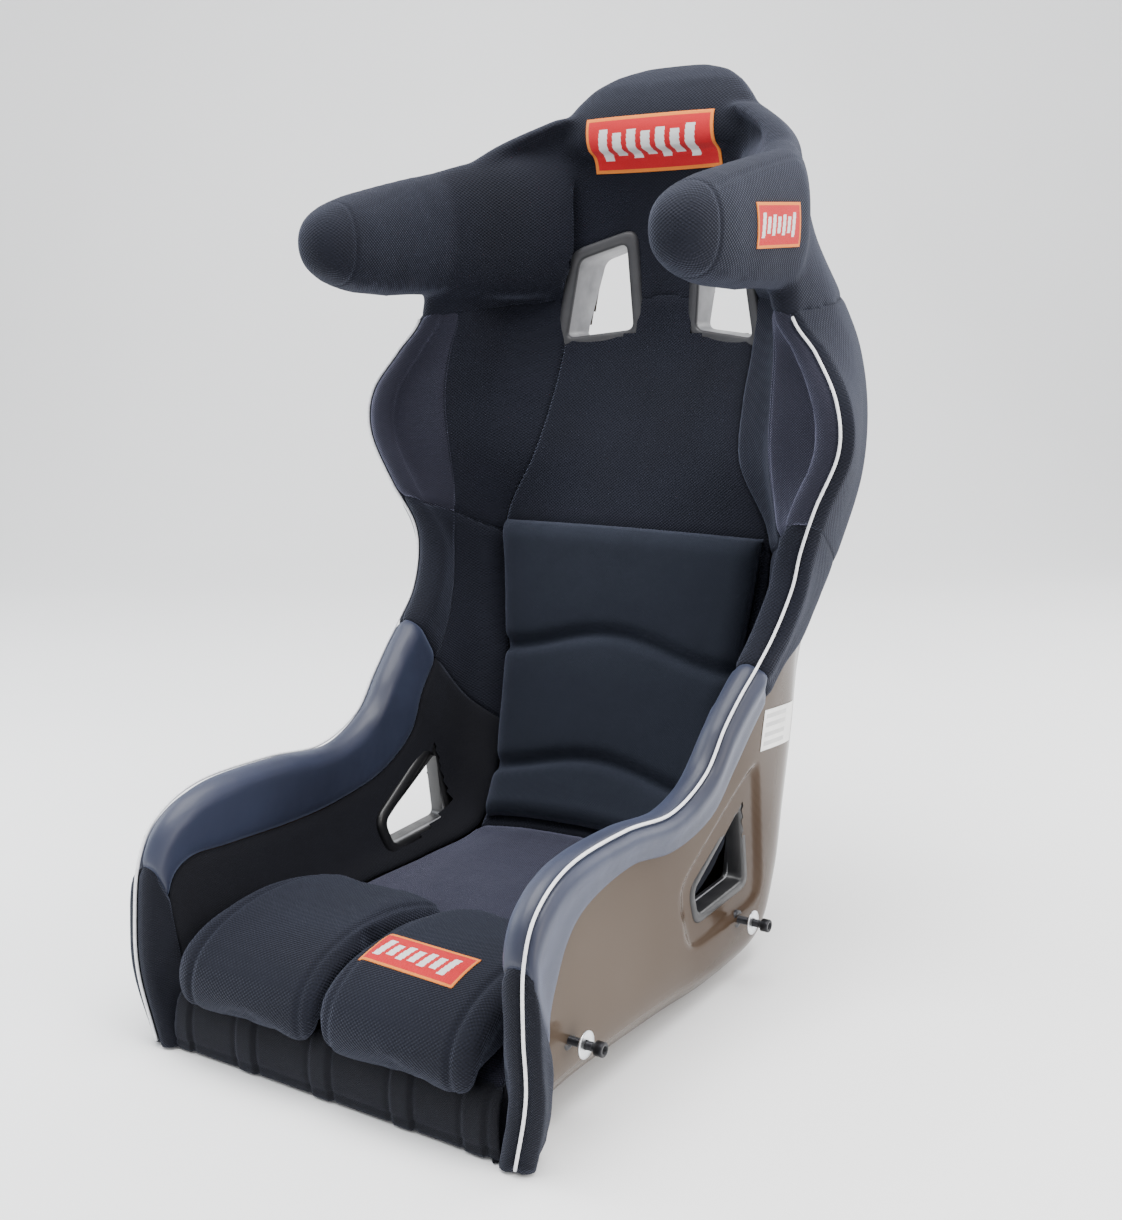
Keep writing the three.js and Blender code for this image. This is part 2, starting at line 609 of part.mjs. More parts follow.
// An upright oval across the wing, at one of its stops.
function wingRing([y, z, halfHeight, x, halfWidth]) {
  return Array.from({ length: 16 }, (_, i) => {
    const a = (i / 16) * 2 * Math.PI;
    const [c, d] = [Math.cos(a), Math.sin(a)].map((t) => Math.sign(t) * Math.abs(t) ** 0.85);
    return new THREE.Vector3(x + halfWidth * c, y, z + halfHeight * d);
  });
}
const wingRings = HEAD_WING.map(wingRing);
const wing = loft(wingRings, (end) => wingRings.at(-end).map((p) => [p.x, p.z]));
paddingPair("head_wing_pad", wing, FINISH.airMesh);

// ---- loose cushions ------------------------------------------------------------------------
const floorAt = (line, u) => {
  const i = Math.max(1, line.findIndex((p) => p[0] >= u));
  const [a, b] = [line[i - 1], line[i]];
  return mix(a[1], b[1], (u - a[0]) / (b[0] - a[0]));
};

function cushionContour(s, v) {
  const line = floorLine(s);
  const half = mix(...CUSHION.halfWidth, (v - CUSHION.from) / (CUSHION.to - CUSHION.from));
  const width = Math.min(half, s.floor[1][0] - 1.5);
  const above = (u, rise) => [u, floorAt(line, u) + rise];
  const crowned = [[0, 1], [0.55, 1], [0.86, 0.9], [0.97, 0.62], [1, 0.3]];
  const top = crowned.map(([u, t]) => above(u * width, t * CUSHION.rise));
  const under = [0, 0.3, 0.55, 0.8, 0.985].map((u) => above(u * width, 6 * GAP));
  return bothSides(top, under);
}
const backCushion = sweep(CUSHION.from + SEAM, CUSHION.to, cushionContour);
add("back_cushion", geometryOf(backCushion), FINISH.knit);

const outlineShape = (points) => new THREE.Shape(points.map((p) => new THREE.Vector2(...p)));
pair("thigh_cushion", alongX(outlineShape(THIGH_OUTLINE), ...THIGH_SIDES), FINISH.airMesh);

// ---- piping --------------------------------------------------------------------------------
function pipingPoint(v) {
  const s = section(v);
  const [u, h] = rollCentre(s);
  const reach = s.roll + PIPING_RADIUS + 6 * GAP;
  return place(s, [u + 0.55 * reach, h + 0.835 * reach]);
}
const pipingPath = new THREE.CatmullRomCurve3(stops(0.05, SHOULDER_TOP - 0.1).map(pipingPoint));
const pipingRound = Array.from({ length: PIPING_SIDES }, (_, i) => {
  const a = (i / PIPING_SIDES) * 2 * Math.PI;
  return [PIPING_RADIUS * Math.cos(a), PIPING_RADIUS * Math.sin(a)];
});
const pipingSettings = { steps: PIPING_STEPS, extrudePath: pipingPath };
const pipingTube = new THREE.ExtrudeGeometry(outlineShape(pipingRound), pipingSettings);
pair("piping", solid(facingOut(indexed(pipingTube))), FINISH.cord);

// ---- slot bezels ---------------------------------------------------------------------------
for (const [label, side] of SIDES) {
  const shoulder = shoulderFlange(side, 0, 0).add(shoulderSleeve(side));
  const lap = lapFlange(side, 0, 0).add(lapSleeve(side));
  add(`shoulder_slot_bezel_${label}`, geometryOf(shoulder), FINISH.greyPlastic);
  add(`lap_slot_bezel_${label}`, geometryOf(lap), FINISH.blackPlastic);
}
const crotch = crotchFlange(0, 0).add(alongZ(sleeve(CROTCH_SLOT), ...CROTCH_SLEEVE));
add("crotch_slot_bezel", geometryOf(crotch), FINISH.blackPlastic);

// ---- side mounts ---------------------------------------------------------------------------
const [[rearEnd, frontEnd], [low, high]] = [PLATE.y.toReversed(), PLATE.z];
const plateCorners = [[frontEnd, low], [rearEnd, low], [rearEnd, high], [frontEnd, high]];
const plateBar = alongX(roundedOutline(plateCorners, 0), ...PLATE.x);
const plateBores = bars(BORE, PLATE.x[0] - 1, PLATE_OUTER + 1);
pair("mount_plate", cut(plateBar, ...plateBores), FINISH.steel);

// A ring or bar turned round a mount's axis: its profile gives radius and distance along X.
function turned(profile, [y, z]) {
  const lathe = new THREE.LatheGeometry(profile.map((p) => new THREE.Vector2(...p)), 16);
  return solid(facingOut(indexed(lathe.rotateZ(-Math.PI / 2).translate(0, y, z))));
}
function ringProfile(radius, from, to) {
  return [[BORE, from], [radius, from], [radius, to], [BORE, to], [BORE, from]];
}
const insertProfile = ringProfile(INSERT_RADIUS, PLATE_OUTER + GAP, MOUNT_HALF_WIDTH + INSERT_LIP);
const washerFace = MOUNT_HALF_WIDTH + WASHER_STAND_OUT;
const washerProfile = ringProfile(WASHER_RADIUS, washerFace, washerFace + WASHER_THICKNESS);
const boltEnd = MOUNT_HALF_WIDTH + BOLT_STAND_OUT;
const neck = boltEnd - HEAD_HEIGHT;
const boltProfile = [
  [0, neck - BOLT_LENGTH], [BOLT_RADIUS, neck - BOLT_LENGTH], [BOLT_RADIUS, neck],
  [HEAD_RADIUS, neck], [HEAD_RADIUS, boltEnd],
  [SOCKET_RADIUS, boltEnd], [SOCKET_RADIUS, boltEnd - SOCKET_DEPTH], [0, boltEnd - SOCKET_DEPTH],
];
for (const [which, point] of Object.entries(MOUNT_POINTS)) {
  pair(`threaded_insert_${which}`, turned(insertProfile, point), FINISH.blackSteel);
  pair(`washer_${which}`, turned(washerProfile, point), FINISH.zinc);
  pair(`mount_bolt_${which}`, turned(boltProfile, point), FINISH.blackSteel);
}

// ---- label and patches ---------------------------------------------------------------------
const plate = ([x, y, z], [dx, dy, dz]) => solid(new THREE.BoxGeometry(dx, dy, dz).translate(x, y, z));
add("approval_label", geometryOf(plate(...LABEL)), FINISH.whiteFilm);
add("crown_patch", geometryOf(plate(...CROWN_PATCH)), FINISH.redPatch);
pair("wing_patch", plate(...WING_PATCH), FINISH.redPatch);
const { centre, size, tilt } = CUSHION_PATCH;
const cushionPatch = new THREE.BoxGeometry(...size).rotateX(tilt).translate(...centre);
add("cushion_patch", geometryOf(solid(cushionPatch)), FINISH.redPatch);

export default seat;
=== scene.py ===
"""Racing seat: the looks of a composite containment bucket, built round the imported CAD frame."""

import math

import bpy
import numpy as np
from mathutils import Matrix, Vector
from mathutils.bvhtree import BVHTree


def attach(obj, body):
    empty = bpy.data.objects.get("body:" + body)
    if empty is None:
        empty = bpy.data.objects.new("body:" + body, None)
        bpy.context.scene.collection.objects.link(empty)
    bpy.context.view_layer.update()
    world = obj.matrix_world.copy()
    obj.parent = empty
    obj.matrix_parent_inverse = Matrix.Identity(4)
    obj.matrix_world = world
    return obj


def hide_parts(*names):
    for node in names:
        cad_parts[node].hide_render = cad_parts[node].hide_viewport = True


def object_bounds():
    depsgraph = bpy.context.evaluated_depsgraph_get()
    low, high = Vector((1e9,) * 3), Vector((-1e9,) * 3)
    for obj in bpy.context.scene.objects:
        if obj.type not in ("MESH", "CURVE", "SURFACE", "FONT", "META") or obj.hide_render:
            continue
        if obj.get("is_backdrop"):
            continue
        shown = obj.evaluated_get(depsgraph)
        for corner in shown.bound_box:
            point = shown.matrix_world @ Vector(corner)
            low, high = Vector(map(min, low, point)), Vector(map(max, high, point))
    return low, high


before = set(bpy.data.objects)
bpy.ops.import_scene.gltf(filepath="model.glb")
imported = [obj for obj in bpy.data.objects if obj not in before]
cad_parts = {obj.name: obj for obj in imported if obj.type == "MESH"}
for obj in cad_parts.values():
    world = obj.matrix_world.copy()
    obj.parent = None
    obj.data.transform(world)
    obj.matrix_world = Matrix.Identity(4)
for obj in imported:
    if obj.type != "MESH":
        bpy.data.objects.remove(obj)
cad_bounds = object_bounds()

MM = 0.001
SIDES = (("right", 1.0), ("left", -1.0))

# ---- the seat's cross-sections ----
# From the front lip along the base and up the back to the crown. Each lies in a plane through
# `spine` (shell floor) and `rim`, given as Y, Z in side view; the rest are half-widths and
# heights above the spine: piping, roll, wrap | shell's flat, corner, wall | padded floor's centre
# height, its edge | padded wall | inner seam of the bolster.
SECTIONS = np.array([
    [-292, 2, -338, 2, 204, 13, 44, 160, 20, 192, 36, 180, 36, 182, 30, 184, 18],
    [-286, 10, -341, 72, 219, 13, 68, 165, 26, 200, 60, 176, 58, 180, 50, 184, 40],
    [-276, 18, -341, 128, 218, 14, 92, 164, 32, 200, 50, 172, 50, 178, 60, 184, 84],
    [-262, 22, -334, 182, 215, 15, 105, 162, 38, 200, 48, 168, 47, 180, 74, 190, 140],
    [-240, 22, -311, 219, 213, 17, 92, 160, 42, 200, 52, 166, 50, 178, 80, 190, 162],
    [-205, 21, -258, 240, 211, 18, 60, 158, 44, 200, 64, 165, 58, 178, 86, 190, 156],
    [-140, 17, -168, 240, 209, 18, 42, 156, 46, 200, 80, 165, 66, 178, 90, 190, 152],
    [-60, 11, -90, 232, 210, 18, 45, 154, 48, 200, 91, 164, 74, 178, 98, 190, 160],
    [40, 0.9, -30, 251, 212, 18, 56, 150, 52, 200, 106, 158, 88, 178, 114, 190, 188],
    [136, 6, 4, 287, 214, 18, 62, 146, 56, 200, 120, 140, 104, 176, 142, 190, 226],
    [178, 58, 30, 312, 217, 18, 60, 144, 58, 200, 111, 138, 106, 176, 146, 191, 226],
    [200, 130, 60, 337, 221, 19, 56, 144, 58, 200, 97, 142, 93, 178, 128, 193, 190],
    [221, 208, 90, 366, 225, 20, 60, 144, 58, 201, 88, 148, 83, 180, 112, 197, 154],
    [234, 284, 111, 405, 232, 20, 100, 144, 60, 204, 75, 158, 70, 186, 96, 203, 128],
    [241, 354, 113, 440, 239, 20, 126, 144, 68, 220, 64, 166, 57, 188, 84, 204, 114],
    [246, 422, 100, 485, 259, 20, 142, 144, 80, 244, 56, 164, 54, 184, 80, 198, 114],
    [256, 494, 96, 539, 283, 20, 152, 146, 88, 262, 44, 130, 58, 172, 88, 196, 132],
    [279, 566, 98, 585, 279, 20, 168, 146, 92, 259, 38, 120, 54, 172, 96, 198, 152],
    [302, 634, 112, 628, 252, 18, 176, 140, 100, 245, 33, 118, 50, 168, 100, 196, 164],
    [315, 690, 119, 668, 222, 15, 168, 122, 110, 225, 38, 114, 54, 164, 96, 188, 168],
    [322, 742, 122, 742, 214, 14, 152, 84, 140, 206, 43, 112, 58, 160, 98, 186, 168],
    [328, 792, 134, 798, 204, 14, 142, 72, 148, 194, 56, 108, 68, 154, 100, 182, 160],
    [333, 836, 186, 844, 174, 15, 104, 52, 112, 167, 70, 86, 76, 122, 92, 150, 116],
    [337, 876, 242, 882, 107, 18, 62, 26, 64, 104, 70, 50, 71, 72, 73, 86, 76],
], float)
CROWN = len(SECTIONS) - 1
# Section numbers where one cover ends and the next begins.
LIP_TOP, POST_TOP, BASE_REAR, VINYL_TOP, TORSO_TOP, SHOULDER_TOP = 1.5, 2.9, 9.0, 11.0, 14.6, 19.0
HEAD_TOP = 22.9

SHELL_THICKNESS = 4.0
WRAP_THICKNESS = 3.5
POST_FULLNESS = 9.0  # how far the outsides of the front posts swell
LAP_PANEL = 33.0  # how far the moulded panel reaches round a lap slot
LAP_PANEL_DEPTH = 4.5
PIPING_ANGLE = 56.6
PIPING_RADIUS = 1.5
SEAM_WIDTH = 5.0
TUCK = 8.0  # how deep a cover's edges turn into the padding
SEAM = 2.5  # depth of a usual seam
MOUNT_POINTS = {"rear": (64, 70), "front": (-249, 78)}  # Y, Z
SCREW_CLEARANCE = 9.0  # radius of the opening in the liner behind a front mount

SHOULDER_SLOT = np.array([[40, 648], [117, 639], [101, 725], [47, 742]], float)  # X, Z
LAP_SLOT = np.array([[80, 106], [70, 184], [-24, 130], [-16, 103]], float)  # Y, Z
CROTCH_SLOT = np.array([[-38, -204], [38, -204], [38, -174], [-38, -174]], float)  # X, Y
THIGH_OUTLINE = [  # Y, Z
    [-138, 101], [-158, 119], [-225, 129], [-295, 123], [-334, 104],
    [-347, 79], [-346, 58], [-337, 52], [-322, 62], [-262, 74],
]


def smoothstep(x):
    x = np.clip(x, 0, 1)
    return x * x * (3 - 2 * x)


def catmull(p0, p1, p2, p3, f):
    """The Catmull-Rom spline between p1 and p2, at fractions f."""
    square = 2 * p0 - 5 * p1 + 4 * p2 - p3
    cube = 3 * p1 - p0 - 3 * p2 + p3
    return 0.5 * (2 * p1 + (p2 - p0) * f + square * f**2 + cube * f**3)


def table_at(v):
    """All columns of the table at section numbers v."""
    i = np.clip(np.floor(v).astype(int), 0, CROWN - 1)
    rows = np.vstack([2 * SECTIONS[0] - SECTIONS[1], SECTIONS, 2 * SECTIONS[-1] - SECTIONS[-2]])
    return catmull(rows[i], rows[i + 1], rows[i + 2], rows[i + 3], (v - i)[:, None])


class Sections:
    """The sections at an array of section numbers."""

    def __init__(self, v):
        c = table_at(v)
        self.v = v
        self.spine = c[:, 0:2]
        run = c[:, 2:4] - c[:, 0:2]
        self.height = np.hypot(run[:, 0], run[:, 1])
        self.up = run / self.height[:, None]
        self.piping, self.roll, self.wrap = c[:, 4], c[:, 5], c[:, 6]
        self.flat, self.corner, self.side = c[:, 7], c[:, 8], c[:, 9]
        self.centre = c[:, 10]
        self.edge, self.wall, self.seam = c[:, 11:13], c[:, 13:15], c[:, 15:17]
        self.roll_at = np.stack([self.piping - 0.55 * self.roll, self.height - self.roll], 1)

    def place(self, uh):
        """Points (sections, n, 2) across and above the spine, as X, Y, Z in metres."""
        h = uh[..., 1]
        y = self.spine[:, None, 0] + self.up[:, None, 0] * h
        z = self.spine[:, None, 1] + self.up[:, None, 1] * h
        return np.stack([uh[..., 0], y, z], -1) * MM

    def arc(self, degrees, more=0.0):
        """Point of the padded rim at an angle, `more` mm outside its round."""
        a = math.radians(degrees)
        radius = self.roll + more
        return np.stack([
            self.roll_at[:, 0] + radius * math.cos(a),
            self.roll_at[:, 1] + radius * math.sin(a),
        ], 1)


def spline(points, t):
    """Catmull-Rom through control points (n, k, 2) at parameters t in 0..k-1."""
    k = points.shape[1]
    i = np.clip(np.floor(t).astype(int), 0, k - 2)
    p0, p1 = points[:, np.maximum(i - 1, 0)], points[:, i]
    p2, p3 = points[:, i + 1], points[:, np.minimum(i + 2, k - 1)]
    return catmull(p0, p1, p2, p3, (t - i)[None, :, None])


def evenly(points, count):
    """The control points' spline, resampled evenly along its length."""
    fine = spline(points, np.linspace(0, points.shape[1] - 1, 16 * points.shape[1]))
    step = np.linalg.norm(np.diff(fine, axis=1), axis=2)
    along = np.concatenate([np.zeros((len(step), 1)), np.cumsum(step, 1)], 1)
    wanted = np.linspace(0.0, 1.0, count)
    rows = []
    for line, s in zip(fine, along):
        at = wanted * s[-1]
        rows.append(np.stack([np.interp(at, s, line[:, 0]), np.interp(at, s, line[:, 1])], 1))
    return np.array(rows)


# ---- contour lines, as control points per section ----
def floor_line(s):
    middle = np.stack([s.edge[:, 0] * 0.55, s.centre + 0.3 * (s.edge[:, 1] - s.centre)], 1)
    centre = np.stack([0 * s.centre, s.centre], 1)
    return np.stack([centre, middle, s.edge], 1)


def front_line(s):
    return np.concatenate([floor_line(s), wall_line(s)[:, 1:]], 1)


def wall_line(s):
    return np.stack([s.edge, s.wall, s.seam], 1)


def shell_line(s):
    cut = 0.29 * s.corner
    u, h = s.roll_at.T
    zero = 0 * u
    return np.stack([
        np.stack([zero, zero], 1), np.stack([s.flat, zero], 1), np.stack([s.side - cut, cut], 1),
        np.stack([s.side, s.corner], 1), np.stack([(s.side + u) / 2 + 2, (s.corner + h) / 2], 1),
        np.stack([u + 2, h], 1),
    ], 1)


def shell_width(s, at):
    """Half-width of the shell's outside at heights `at` above the spine, one per section."""
    line = spline(shell_line(s), np.linspace(1, 5, 80))
    return np.array([np.interp(a, row[:, 1], row[:, 0]) for a, row in zip(at, line)])


def rim_inner(s):
    return np.stack([s.seam] + [s.arc(a) for a in (180, 150, 120, 88, PIPING_ANGLE)], 1)


def rim_outer(s):
    h = s.roll_at[:, 1]
    foot = s.height - s.wrap
    fuller = POST_FULLNESS * smoothstep((3.6 - s.v) / 1.4)
    wrapped = []
    for t, stand in ((0.4, 0.62 * s.roll + fuller), (0.8, 0.5 * s.roll + fuller), (1.0, WRAP_THICKNESS)):
        at = h + (foot - h) * t
        wrapped.append(np.stack([shell_width(s, at) + stand, at], 1))
    arcs = [s.arc(PIPING_ANGLE), s.arc(28, 0.5 * fuller), s.arc(0, 0.8 * fuller)]
    return np.stack(arcs + wrapped, 1)


# ---- grids and meshes ----
def grid_normals(p):
    tw = np.gradient(p, axis=1)
    tv = np.gradient(p, axis=0)
    n = np.cross(tw, tv)
    return n / np.maximum(np.linalg.norm(n, axis=2, keepdims=True), 1e-12)


def lengths(p, axis):
    step = np.linalg.norm(np.diff(p, axis=axis), axis=2)
    first = np.zeros_like(np.take(p[..., 0], [0], axis))
    return np.concatenate([first, np.cumsum(step, axis)], axis)


def edge_distances(p):
    """Distance of each grid point to the edges: front, rear, inner, outer."""
    along, across = lengths(p, 0), lengths(p, 1)
    return along, along[-1:] - along, across, across[:, -1:] - across


def sink(distance, depth, width):
    return depth * MM * np.exp(-((distance / (width * MM)) ** 2))


def quads(rows, cols, start=0):
    a = np.arange(rows - 1)[:, None] * cols + np.arange(cols - 1)[None, :] + start
    return np.stack([a, a + 1, a + cols + 1, a + cols], -1).reshape(-1, 4)


def mesh_data(name, verts, faces):
    mesh = bpy.data.meshes.new(name)
    mesh.from_pydata([tuple(v) for v in verts], [], [tuple(int(i) for i in f) for f in faces])
    mesh.update()
    mesh.polygons.foreach_set("use_smooth", [True] * len(mesh.polygons))
    return mesh


def make_mesh(name, verts, faces, material=None):
    obj = bpy.data.objects.new(name, mesh_data(name, verts, faces))
    bpy.context.collection.objects.link(obj)
    if material:
        obj.data.materials.append(material)
    return obj


def tucked(p, depth):
    """The grid with one more row and column at every edge, turned into the padding."""
    n = grid_normals(p)
    down = p - n * depth * MM
    p = np.concatenate([down[:1], p, down[-1:]], 0)
    left = np.concatenate([down[:1, :1], down[:, :1], down[-1:, :1]], 0)
    right = np.concatenate([down[:1, -1:], down[:, -1:], down[-1:, -1:]], 0)
    return np.concatenate([left, p, right], 1)


def skin(name, p, material, side=1.0, hole=None, tuck=TUCK):
    """A cover panel from a grid of points, for one side of the seat."""
    p = tucked(p, tuck)
    rows, cols = p.shape[:2]
    faces = quads(rows, cols)
    flat = p.reshape(-1, 3).copy()
    if hole is not None:
        middle = flat[faces].mean(1)
        faces = faces[~hole(middle)]
    if side < 0:
        flat[:, 0] *= -1
        faces = faces[:, ::-1]
    return make_mesh(name, flat, faces, material)


def mirrored_grid(p):
    """Both halves of a grid that starts at the mirror plane."""
    left = p[:, ::-1].copy()
    left[..., 0] *= -1
    return np.concatenate([left[:, :-1], p], 1)


def stations(start, stop, pitch=5.0):
    """Section numbers between two, about `pitch` mm apart along the rim."""
    fine = np.linspace(start, stop, 400)
    s = Sections(fine)
    path = s.spine + s.up * (s.height * 0.6)[:, None]
    path = np.concatenate([path, s.piping[:, None]], 1)
    along = np.concatenate([[0], np.cumsum(np.linalg.norm(np.diff(path, axis=0), axis=1))])
    count = max(8, int(along[-1] / pitch))
    return np.interp(np.linspace(0, along[-1], count), along, fine)


def winding(corners):
    """1 for a polygon that runs anticlockwise, -1 for a clockwise one."""
    return np.sign(sum(a[0] * b[1] - b[0] * a[1] for a, b in zip(corners, np.roll(corners, -1, 0))))


def past_edges(points, corners):
    """How far points lie outside each edge's line of a convex polygon, one array per edge."""
    turn = winding(corners)
    for a, b in zip(corners, np.roll(corners, -1, 0)):
        run = (b - a) / np.linalg.norm(b - a)
        yield turn * ((points[:, 0] - a[0]) * run[1] - (points[:, 1] - a[1]) * run[0])


def inside_grown(points, corners, grow):
    """Whether points lie in a convex polygon grown outwards."""
    keep = np.ones(len(points), bool)
    for out in past_edges(points, corners):
        keep &= out <= grow
    return keep


def polygon_distance(points, corners, rounding=9.0):
    """Signed distance to a convex polygon with rounded corners, negative inside."""
    total = np.zeros(len(points))
    for out in past_edges(points, corners):
        total += np.exp(np.clip(out / rounding, -60, 60))
    return rounding * np.log(total)


# Holes in a skin: each tests the middles of its faces, in metres.
def lap_hole(grow):
    return lambda m: inside_grown(m[:, 1:3] / MM, LAP_SLOT, grow) & (m[:, 0] > 0.171)


def liner_hole(m):
    """The lap slot, and the clearance for the tip of the front mounting screw."""
    y, z = MOUNT_POINTS["front"]
    screw = np.hypot(m[:, 1] / MM - y, m[:, 2] / MM - z) < SCREW_CLEARANCE
    return lap_hole(5.0)(m) | screw


def shoulder_hole(grow):
    def test(m):
        flat = np.stack([np.abs(m[:, 0]), m[:, 2]], 1) / MM
        return inside_grown(flat, SHOULDER_SLOT, grow) & (m[:, 1] > 0.2)
    return test


def finish_piece(obj, node_names=(), body="seat"):
    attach(obj, body)
    if node_names:
        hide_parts(*node_names)
    return obj


# ---- materials ----
class Field:
    """A value in a node tree, with arithmetic."""

    def __init__(self, tree, socket):
        self.tree, self.socket = tree, socket

    def op(self, name, other=None):
        node = self.tree.nodes.new("ShaderNodeMath")
        node.operation = name
        self.tree.links.new(self.socket, node.inputs[0])
        if isinstance(other, Field):
            self.tree.links.new(other.socket, node.inputs[1])
        elif other is not None:
            node.inputs[1].default_value = other
        return Field(self.tree, node.outputs[0])

    def __add__(self, other):
        return self.op("ADD", other)

    def __mul__(self, other):
        return self.op("MULTIPLY", other)


class Look:
    """A Principled material whose sockets can be set or fed from fields."""

    def __init__(self, name, **values):
        self.material = bpy.data.materials.new(name)
        self.material.use_nodes = True
        self.tree = self.material.node_tree
        self.shader = self.tree.nodes["Principled BSDF"]
        for key, value in values.items():
            self.shader.inputs[key.replace("_", " ")].default_value = value
        coords = self.tree.nodes.new("ShaderNodeTexCoord")
        self.where = coords.outputs["Object"]
        geometry = self.tree.nodes.new("ShaderNodeNewGeometry")
        self.facing = geometry.outputs["True Normal"]

    def split(self, vector):
        node = self.tree.nodes.new("ShaderNodeSeparateXYZ")
        self.tree.links.new(vector, node.inputs[0])
        return [Field(self.tree, out) for out in node.outputs]

    def noise(self, scale, detail=3.0, roughness=0.5):
        node = self.tree.nodes.new("ShaderNodeTexNoise")
        node.inputs["Scale"].default_value = scale
        node.inputs["Detail"].default_value = detail
        node.inputs["Roughness"].default_value = roughness
        self.tree.links.new(self.where, node.inputs["Vector"])
        return Field(self.tree, node.outputs["Fac"])

    def weave(self, across, along):
        """Staggered cells, `across` by `along` metres, whichever way the surface faces."""
        x, y, z = self.split(self.where)
        weights = [n.op("ABSOLUTE").op("POWER", 4.0) for n in self.split(self.facing)]
        total = weights[0] + weights[1] + weights[2]
        cells = []
        for a, b in ((y, z), (x, z), (x, y)):
            wave = (a * (math.pi / across)).op("SINE") * (b * (math.pi / along)).op("SINE")
            cells.append(wave)
        mixed = cells[0] * weights[0] + cells[1] * weights[1] + cells[2] * weights[2]
        return mixed.op("DIVIDE", total)

    def ramp(self, field, low, high, start=0.0, stop=1.0):
        """A colour between two, as the field goes from start to stop."""
        node = self.tree.nodes.new("ShaderNodeMapRange")
        node.inputs["From Min"].default_value = start
        node.inputs["From Max"].default_value = stop
        self.tree.links.new(field.socket, node.inputs["Value"])
        mix = self.tree.nodes.new("ShaderNodeMix")
        mix.data_type = "RGBA"
        mix.inputs["A"].default_value = (*low, 1)
        mix.inputs["B"].default_value = (*high, 1)
        self.tree.links.new(node.outputs["Result"], mix.inputs["Factor"])
        return mix.outputs["Result"]

    def feed(self, socket, source):
        source = source.socket if isinstance(source, Field) else source
        self.tree.links.new(source, self.shader.inputs[socket])

    def bump(self, *layers):
        """Bump layers of (field, distance in metres), one on top of another."""
        below = None
        for field, distance in layers:
            node = self.tree.nodes.new("ShaderNodeBump")
            node.inputs["Strength"].default_value = 1.0
            node.inputs["Distance"].default_value = distance
            self.tree.links.new(field.socket, node.inputs["Height"])
            if below:
                self.tree.links.new(below, node.inputs["Normal"])
            below = node.outputs["Normal"]
        self.tree.links.new(below, self.shader.inputs["Normal"])


def woven(name, low, high, pitch, sheen, depth, roughness=0.9, tint=(0.5, 0.56, 0.8)):
    """A cloth between two colours, with threads `pitch` apart and `depth` deep, in metres."""
    look = Look(name, Roughness=roughness, Sheen_Weight=sheen, Sheen_Roughness=0.4,
                Sheen_Tint=(*tint, 1))
    look.shader.inputs["Specular IOR Level"].default_value = 0.25
    cells = look.weave(pitch, pitch * 0.8)
    patches = look.noise(9.0, 2.0)
    fuzz = look.noise(900.0, 2.0)
    shade = cells * 0.3 + patches * 0.5 + fuzz * 0.35
    look.feed("Base Color", look.ramp(shade, low, high, 0.05, 0.85))
    look.bump((look.noise(16.0, 2.0), 0.0025), (cells, depth), (fuzz, 0.00025))
    return look.material


def plain(name, low, high, roughness, metallic=0.0):
    """A plastic or a metal between two colours, with a fine grain."""
    look = Look(name, Metallic=metallic)
    look.feed("Base Color", look.ramp(look.noise(40.0, 3.0), low, high, 0.3, 0.7))
    look.feed("Roughness", look.noise(120.0, 3.0) * 0.2 + (roughness - 0.1))
    look.bump((look.noise(1800.0, 2.0), 0.00006))
    return look.material


def vinyl():
    look = Look("vinyl", Roughness=0.52, Sheen_Weight=0.15, Sheen_Tint=(0.5, 0.6, 0.9, 1), Coat_Weight=0.05)
    grain = look.noise(1300.0, 3.0, 0.6)
    patches = look.noise(7.0, 2.0)
    look.feed("Base Color", look.ramp(patches, (0.0075, 0.0095, 0.023), (0.019, 0.0245, 0.052), 0.3, 0.7))
    look.feed("Roughness", patches * 0.22 + 0.4)
    look.bump((look.noise(20.0, 2.0), 0.0022), (grain, 0.00012))
    return look.material


def gelcoat():
    look = Look("gelcoat", Roughness=0.14)
    look.shader.inputs["Specular IOR Level"].default_value = 0.1
    look.shader.inputs["Specular Tint"].default_value = (1.0, 0.8, 0.64, 1)
    cloud = look.noise(3.0, 2.0)
    look.feed("Base Color", look.ramp(cloud, (0.04, 0.025, 0.016), (0.085, 0.064, 0.048), 0.35, 0.7))
    look.feed("Roughness", look.noise(6.0, 3.0) * 0.12 + 0.1)
    look.bump((look.noise(9.0, 1.0), 0.0016), (look.noise(700.0, 2.0), 0.00002))
    return look.material


def piping_cord():
    look = Look("piping_cord", Roughness=0.5)
    shade = look.noise(300.0, 2.0)
    look.feed("Base Color", look.ramp(shade, (0.72, 0.73, 0.76), (0.9, 0.9, 0.92), 0.3, 0.7))
    look.bump((look.noise(1500.0, 2.0), 0.0002))
    return look.material


def stitched(name, low, high, pitch, tint):
    """The thread of a woven patch."""
    return woven(name, low, high, pitch, 0.1, 0.0003, 0.8, tint)


